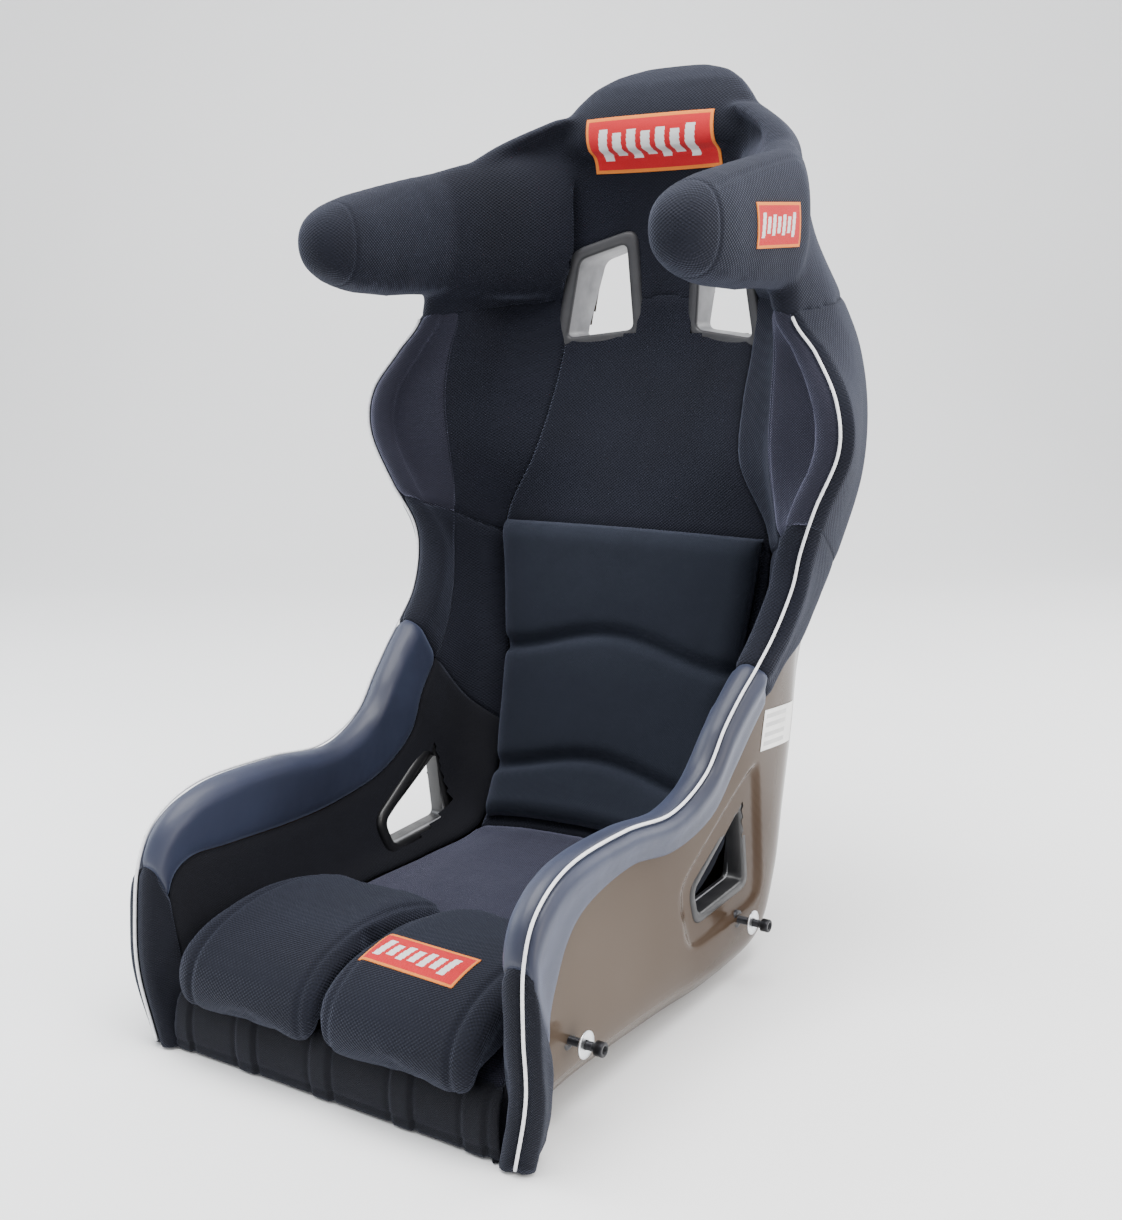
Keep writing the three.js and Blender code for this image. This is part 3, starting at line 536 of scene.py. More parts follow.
MAT = {
    "mesh": woven("air_mesh", (0.0014, 0.0018, 0.0044), (0.0068, 0.0084, 0.0172), 0.0021, 0.15, 0.0004),
    "mesh_coarse": woven(
        "air_mesh_coarse", (0.0014, 0.0018, 0.004), (0.0062, 0.0074, 0.0145), 0.0015, 0.13, 0.0003
    ),
    "plain": woven("plain_weave", (0.0015, 0.0016, 0.003), (0.0046, 0.005, 0.0088), 0.0012, 0.1, 0.0002),
    "knit": woven("knit", (0.0046, 0.0066, 0.0125), (0.0100, 0.0135, 0.0228), 0.0011, 0.2, 0.0002),
    "velour": woven(
        "velour", (0.0068, 0.0072, 0.0132), (0.0225, 0.0228, 0.037), 0.0016, 0.34, 0.0003, 0.95,
        (0.62, 0.64, 0.95),
    ),
    "vinyl": vinyl(),
    "shell": gelcoat(),
    "cord": piping_cord(),
    "grey_plastic": plain("bezel_grey", (0.022, 0.022, 0.025), (0.034, 0.034, 0.038), 0.5),
    "wall_plastic": plain("slot_wall", (0.16, 0.16, 0.17), (0.26, 0.26, 0.27), 0.45),
    "black_plastic": plain("bezel_black", (0.006, 0.006, 0.007), (0.013, 0.013, 0.014), 0.38),
    "black_steel": plain("black_steel", (0.012, 0.012, 0.014), (0.03, 0.03, 0.034), 0.38, 0.7),
    "zinc": plain("zinc", (0.6, 0.62, 0.65), (0.82, 0.84, 0.86), 0.28, 0.95),
    "steel": plain("steel_strip", (0.2, 0.2, 0.21), (0.35, 0.35, 0.36), 0.4, 0.9),
    "film": plain("label_film", (0.72, 0.72, 0.7), (0.86, 0.86, 0.84), 0.45),
    "red": stitched("patch_red", (0.45, 0.008, 0.014), (0.72, 0.02, 0.03), 0.0009, (1, 0.7, 0.7)),
    "orange": stitched("patch_border", (0.75, 0.16, 0.02), (0.95, 0.32, 0.05), 0.0008, (1, 0.8, 0.6)),
    "white": stitched("patch_white", (0.7, 0.7, 0.7), (0.92, 0.92, 0.92), 0.0008, (1, 1, 1)),
}

# ---- shell ----
def build_shell():
    s = Sections(stations(0.0, HEAD_TOP))
    p = s.place(evenly(shell_line(s), 150))
    n = grid_normals(p)
    # The lap slots stand in a shallow moulded panel of the side walls.
    flat = p.reshape(-1, 3)
    away = polygon_distance(flat[:, 1:3] / MM, LAP_SLOT)
    pressed = smoothstep((LAP_PANEL - away) / 7.0) * (flat[:, 0] > 0.15)
    outside = p + n * (pressed * LAP_PANEL_DEPTH * MM).reshape(p.shape[:2])[..., None]
    inside = outside + n * SHELL_THICKNESS * MM
    full_out, full_in = mirrored_grid(outside), mirrored_grid(inside)
    rows, cols = full_out.shape[:2]
    faces_out = quads(rows, cols)[:, ::-1]
    faces_in = quads(rows, cols, rows * cols)
    verts = np.concatenate([full_out.reshape(-1, 3), full_in.reshape(-1, 3)])
    middle = verts[faces_out].mean(1)
    side = middle.copy()
    side[:, 0] = np.abs(side[:, 0])
    holes = lap_hole(3.0)(side) | shoulder_hole(3.0)(side)
    holes |= inside_grown(middle[:, :2] / MM, CROTCH_SLOT, 3.0) & (middle[:, 2] < 0.1)
    faces = [faces_out[~holes], faces_in[~holes]]
    rim = np.concatenate([
        np.arange(cols), np.arange(1, rows) * cols + cols - 1,
        (rows - 1) * cols + np.arange(cols - 2, -1, -1), np.arange(rows - 2, 0, -1) * cols,
    ])
    after = np.roll(rim, -1)
    faces.append(np.stack([rim, after, after + rows * cols, rim + rows * cols], 1))
    obj = make_mesh("shell", verts, np.concatenate(faces), MAT["shell"])
    return finish_piece(obj, ["seat_shell"])


shell = build_shell()


# ---- bolsters and liners ----
def cover(line, start, stop, pitch=4.5):
    """A grid over one of the contour lines, between two section numbers."""
    s = Sections(stations(start, stop, pitch))
    fine = evenly(line(s), 60)
    width = np.linalg.norm(np.diff(fine, axis=1), axis=2).sum(1).mean()
    return s.place(evenly(line(s), max(8, int(width / pitch))))


def seamed(p, front=0.0, rear=0.0, inner=0.0, outer=0.0):
    """Pulls the grid in along the named edges, by mm."""
    depths = (front, rear, inner, outer)
    drop = sum(sink(away, depth, SEAM_WIDTH) for away, depth in zip(edge_distances(p), depths))
    return p - grid_normals(p) * drop[..., None]


LINER_START, LINER_PITCH = 1.2, 4.0


def both(name, p, material, node, stands, hole=None):
    """The same panel on the right and the left."""
    for label, side in SIDES:
        obj = skin(f"{name}_{label}", p, material, side, hole)
        finish_piece(obj, [f"{node}_{label}"] if stands else ())


# CAD node, start of the names, first and last section, cloth, then the panels: each with its line and
# its seams at the front, rear, inner and outer edge. The inner panel stands for the node.
BOLSTERS = [
    ("front_post_pad", "post", 0.0, POST_TOP, "mesh_coarse", {
        "inner": (rim_inner, 0, SEAM, 0, SEAM), "outer": (rim_outer, 0, SEAM, SEAM, SEAM)}),
    ("thigh_bolster", "thigh_bolster", POST_TOP, VINYL_TOP, "vinyl", {
        "inner": (rim_inner, SEAM, SEAM, 3, SEAM), "outer": (rim_outer, SEAM, SEAM, SEAM, SEAM)}),
    ("torso_bolster", "torso_bolster", VINYL_TOP, TORSO_TOP, "mesh", {
        "inner": (rim_inner, SEAM, SEAM, 0.5, SEAM), "wall": (wall_line, 1.5, SEAM, 3, 0.5),
        "outer": (rim_outer, SEAM, 1, SEAM, SEAM)}),
    ("shoulder_pad", "shoulder", TORSO_TOP, SHOULDER_TOP, "velour", {
        "inner": (rim_inner, SEAM, SEAM, 2, SEAM)}),
    ("shoulder_pad", "shoulder", TORSO_TOP, SHOULDER_TOP, "mesh", {
        "outer": (rim_outer, 1, SEAM, SEAM, SEAM)}),
]
for node, start_of_name, start, stop, cloth, panels in BOLSTERS:
    for ending, (line, *seams) in panels.items():
        panel = seamed(cover(line, start, stop), *seams)
        both(f"{start_of_name}_{ending}", panel, MAT[cloth], node, ending == "inner")
both("liner", seamed(cover(wall_line, LINER_START, VINYL_TOP, LINER_PITCH), 0, 1.5, 3, 3), MAT["plain"],
     "side_liner", True, liner_hole)


# ---- base, back and apron ----
def floor_panel(name, start, stop, cloth, node, seams, hole=None, pitch=4.5):
    """A panel right across the seat, between the two walls."""
    p = mirrored_grid(cover(floor_line, start, stop, pitch))
    obj = skin(name, seamed(p, *seams), MAT[cloth], hole=hole)
    finish_piece(obj, [node])


def crotch_hole(m):
    return inside_grown(m[:, :2] / MM, CROTCH_SLOT, 5.0)


APRON_STRAPS = (-176, -95, -6, 84, 160)  # X of the middles of the sewn-on strips
STRAP_HALF = 11.5
HEM = 9.0  # from the apron's lower edge to its sewn line


def build_apron():
    p = seamed(mirrored_grid(cover(front_line, 0.0, LIP_TOP, pitch=2.2)), rear=2.0)
    x = p[..., 0] / MM
    raised = 0 * x
    for middle in APRON_STRAPS:
        off = np.abs(x - middle)
        raised += 1.6 * smoothstep((STRAP_HALF - off) / 2.0)
        raised -= 1.2 * np.exp(-(((off - STRAP_HALF - 1.5) / 2.2) ** 2))
    raised = raised - 1.0 * np.exp(-(((lengths(p, 0) / MM - HEM) / 2.0) ** 2))
    obj = skin("apron", p + grid_normals(p) * (raised * MM)[..., None], MAT["plain"])
    finish_piece(obj, ["front_apron"])


build_apron()
floor_panel("base_cover", LIP_TOP, BASE_REAR, "velour", "seat_base_pad", (2, 3, 3, 3), crotch_hole)
floor_panel("lumbar_cover", BASE_REAR, TORSO_TOP, "mesh", "lumbar_foam", (3, 1, 2, 2))
floor_panel("upper_back_cover", TORSO_TOP, SHOULDER_TOP, "mesh", "upper_back_pad", (1, SEAM, 1.2, 1.2),
            shoulder_hole(5.0), pitch=4.0)
both("shoulder_wall", seamed(cover(wall_line, TORSO_TOP, SHOULDER_TOP), SEAM, SEAM, 1.2, 2.0), MAT["mesh"],
     "shoulder_pad", False)


# ---- loose cushions ----
def closed_outline(points, count):
    """A smooth closed curve through points (k, 2)."""
    pts = np.array(points, float)
    k = len(pts)
    t = np.linspace(0, k, count, endpoint=False)
    i = np.floor(t).astype(int)
    p0, p1, p2, p3 = (pts[(i + d) % k] for d in (-1, 0, 1, 2))
    return catmull(p0, p1, p2, p3, (t - i)[:, None])


def tube_faces(rings, size):
    a = np.arange(rings - 1)[:, None] * size + np.arange(size)[None, :]
    b = np.arange(rings - 1)[:, None] * size + (np.arange(size) + 1)[None, :] % size
    return np.stack([a, b, b + size, a + size], -1).reshape(-1, 4).tolist()


def closed_loft(name, rings, material=None):
    """A closed body through rings (n, size, 3)."""
    count, size = rings.shape[:2]
    faces = tube_faces(count, size)
    faces += [list(range(size))[::-1], [(count - 1) * size + i for i in range(size)]]
    return make_mesh(name, rings.reshape(-1, 3), faces, material)


def apply_modifiers(obj):
    graph = bpy.context.evaluated_depsgraph_get()
    mesh = bpy.data.meshes.new_from_object(obj.evaluated_get(graph))
    old = obj.data
    obj.modifiers.clear()
    obj.data = mesh
    bpy.data.meshes.remove(old)
    mesh.polygons.foreach_set("use_smooth", [True] * len(mesh.polygons))


def remesh(obj, voxel):
    modifier = obj.modifiers.new("remesh", "REMESH")
    modifier.mode = "VOXEL"
    modifier.voxel_size = voxel * MM
    apply_modifiers(obj)


def relax(obj, rounds):
    modifier = obj.modifiers.new("relax", "SMOOTH")
    modifier.iterations = rounds
    apply_modifiers(obj)


def vertices(obj, what="co"):
    """The places, or the normals, of a mesh's vertices."""
    flat = np.empty(len(obj.data.vertices) * 3)
    obj.data.vertices.foreach_get(what, flat)
    return flat.reshape(-1, 3)


def set_vertices(obj, points):
    obj.data.vertices.foreach_set("co", np.ascontiguousarray(points).ravel())
    obj.data.update()


CLOTH_FRAMES = 20


def inflate(obj, cap):
    """Blows the pad up as cloth for a moment, and keeps each point within `cap` mm of its start."""
    start = vertices(obj)
    cloth = obj.modifiers.new("cloth", "CLOTH")
    cloth.settings.use_pressure = True
    cloth.settings.uniform_pressure_force = 4.0
    cloth.settings.effector_weights.gravity = 0.0
    cloth.settings.quality = 4
    cloth.point_cache.frame_start = 1
    cloth.point_cache.frame_end = CLOTH_FRAMES
    for number in range(1, CLOTH_FRAMES + 1):
        bpy.context.scene.frame_set(number)
    apply_modifiers(obj)
    bpy.context.scene.frame_set(1)
    move = vertices(obj) - start
    far = np.linalg.norm(move, axis=1, keepdims=True)
    set_vertices(obj, start + move * np.minimum(1.0, cap * MM / np.maximum(far, 1e-9)))


def surface_of(obj):
    return BVHTree.FromObject(obj, bpy.context.evaluated_depsgraph_get())


def subdivide(obj):
    obj.modifiers.new("subdivision", "SUBSURF").levels = 1
    apply_modifiers(obj)


CUSHION_NEAR, CUSHION_FAR, CUSHION_ROUND = 2.5, 169.0, 17.0  # X of a thigh cushion's ends, and their round
CUSHION_CAP = 7.0  # how far the cloth may blow up
CUSHION_SEAMS = ((146.0, 2.6, 3.2), (17.0, 1.6, 3.0))  # X, depth and width


def cushion_rings():
    """X and inset of the rings of a cushion from its near end to its far end, round at both."""
    ends = []
    for theta in np.radians([90, 72, 54, 36, 18, 0]):
        ends.append((CUSHION_ROUND * (1 - math.sin(theta)), CUSHION_ROUND * (1 - math.cos(theta))))
    middle = np.linspace(CUSHION_NEAR + CUSHION_ROUND, CUSHION_FAR - CUSHION_ROUND, 24)[1:-1]
    rings = [(CUSHION_NEAR + x, inset) for x, inset in ends] + [(x, 0.0) for x in middle]
    return rings + [(CUSHION_FAR - x, inset) for x, inset in reversed(ends)]


def thigh_cushion(label, side):
    outline = closed_outline(THIGH_OUTLINE, 84)
    middle = outline.mean(0)
    half = np.ptp(outline, axis=0) / 2
    loops = []
    for x, inset in cushion_rings():
        yz = middle + (outline - middle) * ((half - inset - 0.5) / half)
        loops.append(np.stack([np.full(len(yz), x * side), yz[:, 0], yz[:, 1]], 1) * MM)
    obj = closed_loft(f"thigh_cushion_cover_{label}", np.array(loops), MAT["mesh"])
    remesh(obj, 5.0)
    relax(obj, 3)
    inflate(obj, CUSHION_CAP)
    subdivide(obj)
    p, n = vertices(obj), vertices(obj, "normal")
    outward = np.abs(p[:, 0])
    groove = sum(sink(np.abs(outward - x * MM), depth, width) for x, depth, width in CUSHION_SEAMS)
    top = smoothstep((n[:, 2] + 0.5) / 0.4) + smoothstep(-n[:, 1] / 0.4)
    p = p - n * (groove * np.minimum(top, 1.0))[:, None]
    p[:, 0] = np.clip(p[:, 0] * side, 1.2 * MM, (CUSHION_FAR + 2) * MM) * side
    set_vertices(obj, p)
    node = f"thigh_cushion_{label}"
    return finish_piece(obj, [node], node)


thigh_cushions = {label: thigh_cushion(label, side) for label, side in SIDES}

BACK_CUSHION_START, BACK_CUSHION_STOP = 9.12, 14.86
BACK_CUSHION_RISE = 26.0
ARCHES = ((327.0, 27.0), (192.0, 25.0))  # height of the apex and drop to the sides
ARCH_DEPTH, ARCH_WIDTH = 11.0, 8.0


def rounded(away, reach):
    """A quarter round from 0 at the edge to 1 at `reach` from it."""
    return np.sqrt(np.clip(1 - (1 - np.clip(away / reach, 0, 1)) ** 2, 0, 1))


def back_cushion():
    v = stations(BACK_CUSHION_START, BACK_CUSHION_STOP, 3.2)
    s = Sections(v)
    top = (v - v[0]) / (v[-1] - v[0])
    half = np.minimum(130 + 33 * top, s.edge[:, 0] - 3)
    across = np.linspace(-1, 1, 110)
    line = evenly(floor_line(s), 60)
    u = np.abs(across)[None, :] * half[:, None]
    h = np.array([np.interp(a, row[:, 0], row[:, 1]) for a, row in zip(u, line)])
    base = s.place(np.stack([across[None, :] * half[:, None], h], -1))
    n = grid_normals(base)
    along, rest, left, right = (d / MM for d in edge_distances(base))
    brim = 0.35 + 0.65 * rounded(np.minimum(left, right), 24)
    ends = 0.3 + 0.7 * rounded(np.minimum(along, rest), 20)
    rise = (BACK_CUSHION_RISE - 1) * brim * ends
    reach = np.abs(base[..., 0]) / MM / 150
    for apex, drop in ARCHES:
        arch = apex - drop * 0.5 * (1 - np.cos(np.pi * np.clip(reach, 0, 1)))
        distance = np.abs(base[..., 2] / MM + 8 - arch)
        rise = rise - ARCH_DEPTH * np.exp(-((distance / ARCH_WIDTH) ** 2))
        rise = rise - 3.0 * np.exp(-((distance / 26.0) ** 2))
    p = base + n * (np.maximum(rise, 1.5) * MM)[..., None]
    obj = skin("back_cushion_cover", p, MAT["knit"], tuck=6.0)
    finish_piece(obj, ["back_cushion"], "back_cushion")


back_cushion()


# ---- head rest ----
HEAD_WING = [  # Y, then the middle height, half of the height, middle X and half of the width
    (-83, 741, 8, 200, 8), (-78, 740, 20, 200, 18), (-66, 740, 31, 200, 27), (-45, 740, 41, 201, 33),
    (-15, 741, 49, 202, 35), (40, 745, 57, 204, 34), (85, 750, 61, 206, 33), (125, 753, 65, 206, 33),
    (165, 758, 72, 188, 34), (215, 762, 78, 156, 36), (250, 766, 80, 134, 38),
]
CROWN_LOOPS = [  # Z, front and back in Y, half-width
    (838, 242, 324, 165), (852, 236, 326, 162), (866, 236, 329, 155), (878, 240, 336, 147),
    (891, 246, 343, 136), (908, 258, 343, 114), (921, 277, 339, 86), (929, 296, 333, 46),
]
CROWN_TAPER = 0.62  # how much narrower a loop is at its back
HEAD_THICKNESS = 9.0  # from the shell's outside to the foam


def head_sweep():
    """The head rest's padding in front of the shell, closed along the shell."""
    s = Sections(stations(SHOULDER_TOP - 0.11, HEAD_TOP, 6.0))
    counts = ((floor_line, 16), (wall_line, 14), (rim_inner, 14), (rim_outer, 16))
    lines = [evenly(line(s), count) for line, count in counts]
    top = np.concatenate([lines[0]] + [line[:, 1:] for line in lines[1:]], 1)
    shell_side = evenly(shell_line(s), 240)
    run = np.gradient(shell_side, axis=1)
    run /= np.linalg.norm(run, axis=2, keepdims=True)
    shell_side = shell_side + np.stack([-run[..., 1], run[..., 0]], 2) * HEAD_THICKNESS
    under = []
    for row, foot in zip(shell_side, s.height - s.wrap):
        keep = max(8, int(np.searchsorted(row[:, 1], foot)))
        under.append(row[np.linspace(keep - 1, 0, 24).astype(int)])
    half = np.concatenate([top, np.array(under)], 1)
    half[:, -1, 0] = 0
    right = s.place(half)
    left = right[:, 1:-1][:, ::-1].copy()
    left[..., 0] *= -1
    return closed_loft("head_front", np.concatenate([right, left], 1))


def oval(count, power):
    a = np.linspace(0, 2 * np.pi, count, endpoint=False)
    return [np.sign(t) * np.abs(t) ** power for t in (np.cos(a), np.sin(a))]


def head_parts():
    parts = [head_sweep()]
    c, d = oval(48, 0.75)
    narrower = 1 - CROWN_TAPER * (1 + d) / 2
    rings = [
        np.stack([w * c * narrower, (f + b) / 2 + (b - f) / 2 * d, np.full(48, z)], 1) * MM
        for z, f, b, w in CROWN_LOOPS
    ]
    parts.append(closed_loft("crown", np.array(rings)))
    c, d = oval(40, 0.85)
    for _, side in SIDES:
        rings = [
            np.stack([side * (x + w * c), np.full(40, float(y)), z + h * d], 1) * MM
            for y, z, h, x, w in HEAD_WING
        ]
        parts.append(closed_loft("wing", np.array(rings)))
    return parts


def join(parts, name):
    verts, faces, start = [], [], 0
    for part in parts:
        verts.append(vertices(part))
        faces += [[start + i for i in face.vertices] for face in part.data.polygons]
        start += len(part.data.vertices)
        bpy.data.objects.remove(part)
    return make_mesh(name, np.concatenate(verts), faces)


def outward_fix(obj):
    """Turns a closed mesh's loose islands to face outwards."""
    bpy.context.view_layer.objects.active = obj
    obj.select_set(True)
    bpy.ops.object.mode_set(mode="EDIT")
    bpy.ops.mesh.select_all(action="SELECT")
    bpy.ops.mesh.normals_make_consistent(inside=False)
    bpy.ops.object.mode_set(mode="OBJECT")
    obj.select_set(False)


def drop_faces(obj, hole):
    """Removes the faces whose middles lie in the hole."""
    p = vertices(obj)
    faces = [list(face.vertices) for face in obj.data.polygons]
    middles = np.array([p[face].mean(0) for face in faces])
    keep = [face for face, out in zip(faces, hole(middles)) if not out]
    obj.data = mesh_data(obj.name, p, keep)


head = join(head_parts(), "head_cover")
outward_fix(head)
remesh(head, 4.0)
relax(head, 22)
head_surface = surface_of(head)  # before its slots are cut and its seams sunk
drop_faces(head, shoulder_hole(4.0))
subdivide(head)


WING_SEAM_X, WING_SEAM_WIDTH, WING_SEAM_DEPTH = 224, 2.2, 1.1


def head_seams(obj):
    """Sewn lines: round each wing behind its rounded front, and along the top of the wings."""
    p, n = vertices(obj), vertices(obj, "normal")
    x, y, z = np.abs(p[:, 0]) / MM, p[:, 1] / MM, p[:, 2] / MM
    front = -44 + 0.0016 * (z - 741) ** 2
    on_wing = smoothstep((x - 140) / 20) * smoothstep((90 - y) / 20)
    round_front = np.exp(-(((y - front) / WING_SEAM_WIDTH) ** 2)) * on_wing
    on_top = smoothstep((z - 745) / 10) * smoothstep((y + 40) / 12) * smoothstep((150 - y) / 30)
    along_top = np.exp(-(((x - WING_SEAM_X) / WING_SEAM_WIDTH) ** 2)) * on_top
    set_vertices(obj, p - n * (WING_SEAM_DEPTH * MM * np.maximum(round_front, along_top))[:, None])


head_seams(head)
head.data.materials.append(MAT["mesh"])
finish_piece(head, ["head_pad", "head_wing_pad_right", "head_wing_pad_left"])


# ---- piping ----
def tube(name, path, radius, material, sides=10):
    """A round cord along points (n, 3), in metres."""
    tangent = np.gradient(path, axis=0)
    tangent /= np.linalg.norm(tangent, axis=1, keepdims=True)
    first = np.cross(tangent, [1.0, 0.0, 0.0])
    first /= np.maximum(np.linalg.norm(first, axis=1, keepdims=True), 1e-9)
    second = np.cross(tangent, first)
    a = np.linspace(0, 2 * np.pi, sides, endpoint=False)[None, :, None]
    ring = first[:, None] * np.cos(a) + second[:, None] * np.sin(a)
    return closed_loft(name, path[:, None] + ring * radius * MM, material)


sewn = Sections(stations(0.05, SHOULDER_TOP - 0.1, 4.0))
piping_path = sewn.place(sewn.arc(PIPING_ANGLE, 0.9)[:, None])[:, 0]
for label, side in SIDES:
    cord = tube(f"piping_cord_{label}", piping_path * [side, 1, 1], PIPING_RADIUS, MAT["cord"])
    finish_piece(cord, [f"piping_{label}"])


# ---- slot bezels ----
SLOT_CORNER = 9.0
SHOULDER_DEPTH = 44.0  # from the front of a shoulder bezel to the back of the shell


def slot_outline(corners, grow, per_corner=7, per_side=6):
    """A slot's outline grown by `grow`, with rounded corners, always with the same point count."""
    runs = np.roll(corners, -1, 0) - corners
    runs = runs / np.linalg.norm(runs, axis=1, keepdims=True)
    starts = corners + winding(corners) * grow * np.stack([runs[:, 1], -runs[:, 0]], 1)
    grown = []
    for p, r, q, w in zip(np.roll(starts, 1, 0), np.roll(runs, 1, 0), starts, runs):
        t = ((q - p)[0] * w[1] - (q - p)[1] * w[0]) / (r[0] * w[1] - r[1] * w[0])
        grown.append(p + r * t)
    radius = SLOT_CORNER + 0.6 * grow

    def toward(a, b):
        return a + (b - a) / np.linalg.norm(b - a) * radius

    points = []
    for i, corner in enumerate(grown):
        after = grown[(i + 1) % len(grown)]
        start, stop, end = toward(corner, grown[i - 1]), toward(corner, after), toward(after, corner)
        for t in np.linspace(0, 1, per_corner):
            points.append((1 - t) ** 2 * start + 2 * t * (1 - t) * corner + t * t * stop)
        for t in np.linspace(0, 1, per_side + 2)[1:-1]:
            points.append(stop + (end - stop) * t)
    return np.array(points)


# Each of these puts an outline at a depth: behind the front of a bezel, or out from the shell's wall.
def put_shoulder(xz, depth):
    x, z = xz.T
    front = 273 - 0.23 * (x - SHOULDER_SLOT[0][0]) + depth
    curve = 5.0 * (np.maximum(x - 84, 0) / 33) ** 2
    back = 303 + 0.184 * (z - SHOULDER_SLOT[1][1]) - curve + depth - SHOULDER_DEPTH
    return np.stack([x, front + (back - front) * smoothstep((depth - 6) / 20), z], 1)


def put_lap(yz, depth):
    slant = 0.15 * max(0.0, 1 - max(depth, 0.0) / 21)
    return np.stack([176 + slant * (yz[:, 1] - LAP_SLOT[0][1]) + depth, *yz.T], 1)


def put_lap_outside(yz, depth):
    return np.stack([np.full(len(yz), 198.0 + depth), *yz.T], 1)


# Profiles: how far out from the slot, and how deep.
FLANGE = [
    (0.6, 4.0), (0.2, 1.2), (0.9, -0.6), (2.4, -1.7), (6.5, -2.2),
    (10.6, -1.7), (12.4, -0.4), (13.0, 1.4), (13.0, 6.0), (8.0, 7.0), (0.6, 4.0),
]
SHOULDER_WALL = [
    (0.6, 3.0), (0.0, 6.0), (0.0, 14.0), (0.0, 24.0), (0.0, 44.0), (1.0, 46.0), (6.0, 46.4), (7.0, 45.4),
    (7.0, 40.0),
]
LAP_WALL = [(0.6, 3.0), (0.0, 6.0), (0.0, 14.0), (0.0, 21.5)]
LAP_LIP = [(-0.4, -16.0), (-0.4, -1.0), (0.6, 0.6), (2.5, 1.4), (7.5, 1.4), (9.5, 0.2), (9.5, -4.0)]
SLOT_RINGS = [  # name, the CAD node it belongs to, slot, profile, place, material
    ("shoulder_bezel", "shoulder_slot_bezel", SHOULDER_SLOT, FLANGE, put_shoulder, "grey_plastic"),
    ("shoulder_slot_wall", "shoulder_slot_bezel", SHOULDER_SLOT, SHOULDER_WALL, put_shoulder, "wall_plastic"),
    ("lap_bezel", "lap_slot_bezel", LAP_SLOT, FLANGE, put_lap, "black_plastic"),
    ("lap_slot_wall", "lap_slot_bezel", LAP_SLOT, LAP_WALL, put_lap, "wall_plastic"),
    ("lap_slot_lip", "lap_slot_bezel", LAP_SLOT, LAP_LIP, put_lap_outside, "black_plastic"),
]
for label, side in SIDES:
    for name, node, corners, profile, put, material in SLOT_RINGS:
        rings = np.array([put(slot_outline(corners, grow), depth) for grow, depth in profile])
        count, size = rings.shape[:2]
        places = rings.reshape(-1, 3) * [side * MM, MM, MM]
        ring = make_mesh(f"{name}_{label}", places, tube_faces(count, size), MAT[material])
        finish_piece(ring, [f"{node}_{label}"] if profile is FLANGE else ())


# ---- side mounts ----
MOUNT_FACE = 200.0
WASHER_GAP = 17  # the washers hang on the half-screwed bolts


def turned(name, profile, y, z, side, material, sides=40):
    """A lathed piece round a mount's axis; the profile gives radius and X."""
    a = np.linspace(0, 2 * np.pi, sides, endpoint=False)
    rings = [
        np.stack([np.full(sides, side * x), y + r * np.cos(a), z + r * np.sin(a)], 1) for r, x in profile
    ]
    faces = tube_faces(len(rings), sides)
    if side < 0:
        faces = [face[::-1] for face in faces]
    return make_mesh(name, np.array(rings).reshape(-1, 3) * MM, faces, material)


BOLT_TIP, BOLT_NECK, BOLT_PITCH = 194.0, 228.0, 1.25


def bolt_profile():
    profile = [(0.01, BOLT_TIP), (2.9, BOLT_TIP), (3.4, BOLT_TIP + 0.8)]
    x = BOLT_TIP + 1.2
    while x < BOLT_NECK - 4.0:
        profile += [(4.0, x), (4.0, x + 0.15), (3.4, x + 0.65), (3.4, x + 0.8)]
        x += BOLT_PITCH
    profile.append((3.95, x))
    head = [(3.95, 0), (6.2, 0), (6.5, 0.3), (6.5, 7.2), (6.2, 7.8), (5.7, 8.0), (3.7, 8.0), (3.4, 7.7)]
    socket = [(3.4, 4.0), (0.01, 3.2)]
    return profile + [(radius, BOLT_NECK + along) for radius, along in head + socket]


def washer_profile():
    profile = [(4.3, 0.1), (4.45, 0), (11.7, 0), (12, 0.3), (12, 1.3), (11.7, 1.6), (4.45, 1.6), (4.3, 1.5)]
    return [(radius, MOUNT_FACE + WASHER_GAP + along) for radius, along in profile + profile[:1]]


def insert_profile():
    lip = MOUNT_FACE + 1.5
    return [(4.35, 193.0), (4.35, lip - 0.5), (4.8, lip), (8.4, lip), (9.0, lip - 0.6), (9.0, 193.0)]


HARDWARE = [  # name, CAD node, profile, material, sides, whether it moves
    ("socket_screw", "mount_bolt", bolt_profile(), "black_steel", 40, True),
    ("fender_washer", "washer", washer_profile(), "zinc", 56, True),
    ("insert", "threaded_insert", insert_profile(), "black_steel", 40, False),
]
for which, (y, z) in MOUNT_POINTS.items():
    for label, side in SIDES:
        for name, node, profile, material, sides, moves in HARDWARE:
            node = f"{node}_{which}_{label}"
            piece = turned(f"{name}_{which}_{label}", profile, y, z, side, MAT[material], sides)
            finish_piece(piece, [node], node if moves else "seat")


# ---- patches and label ----
PATCH_PITCH = 0.9


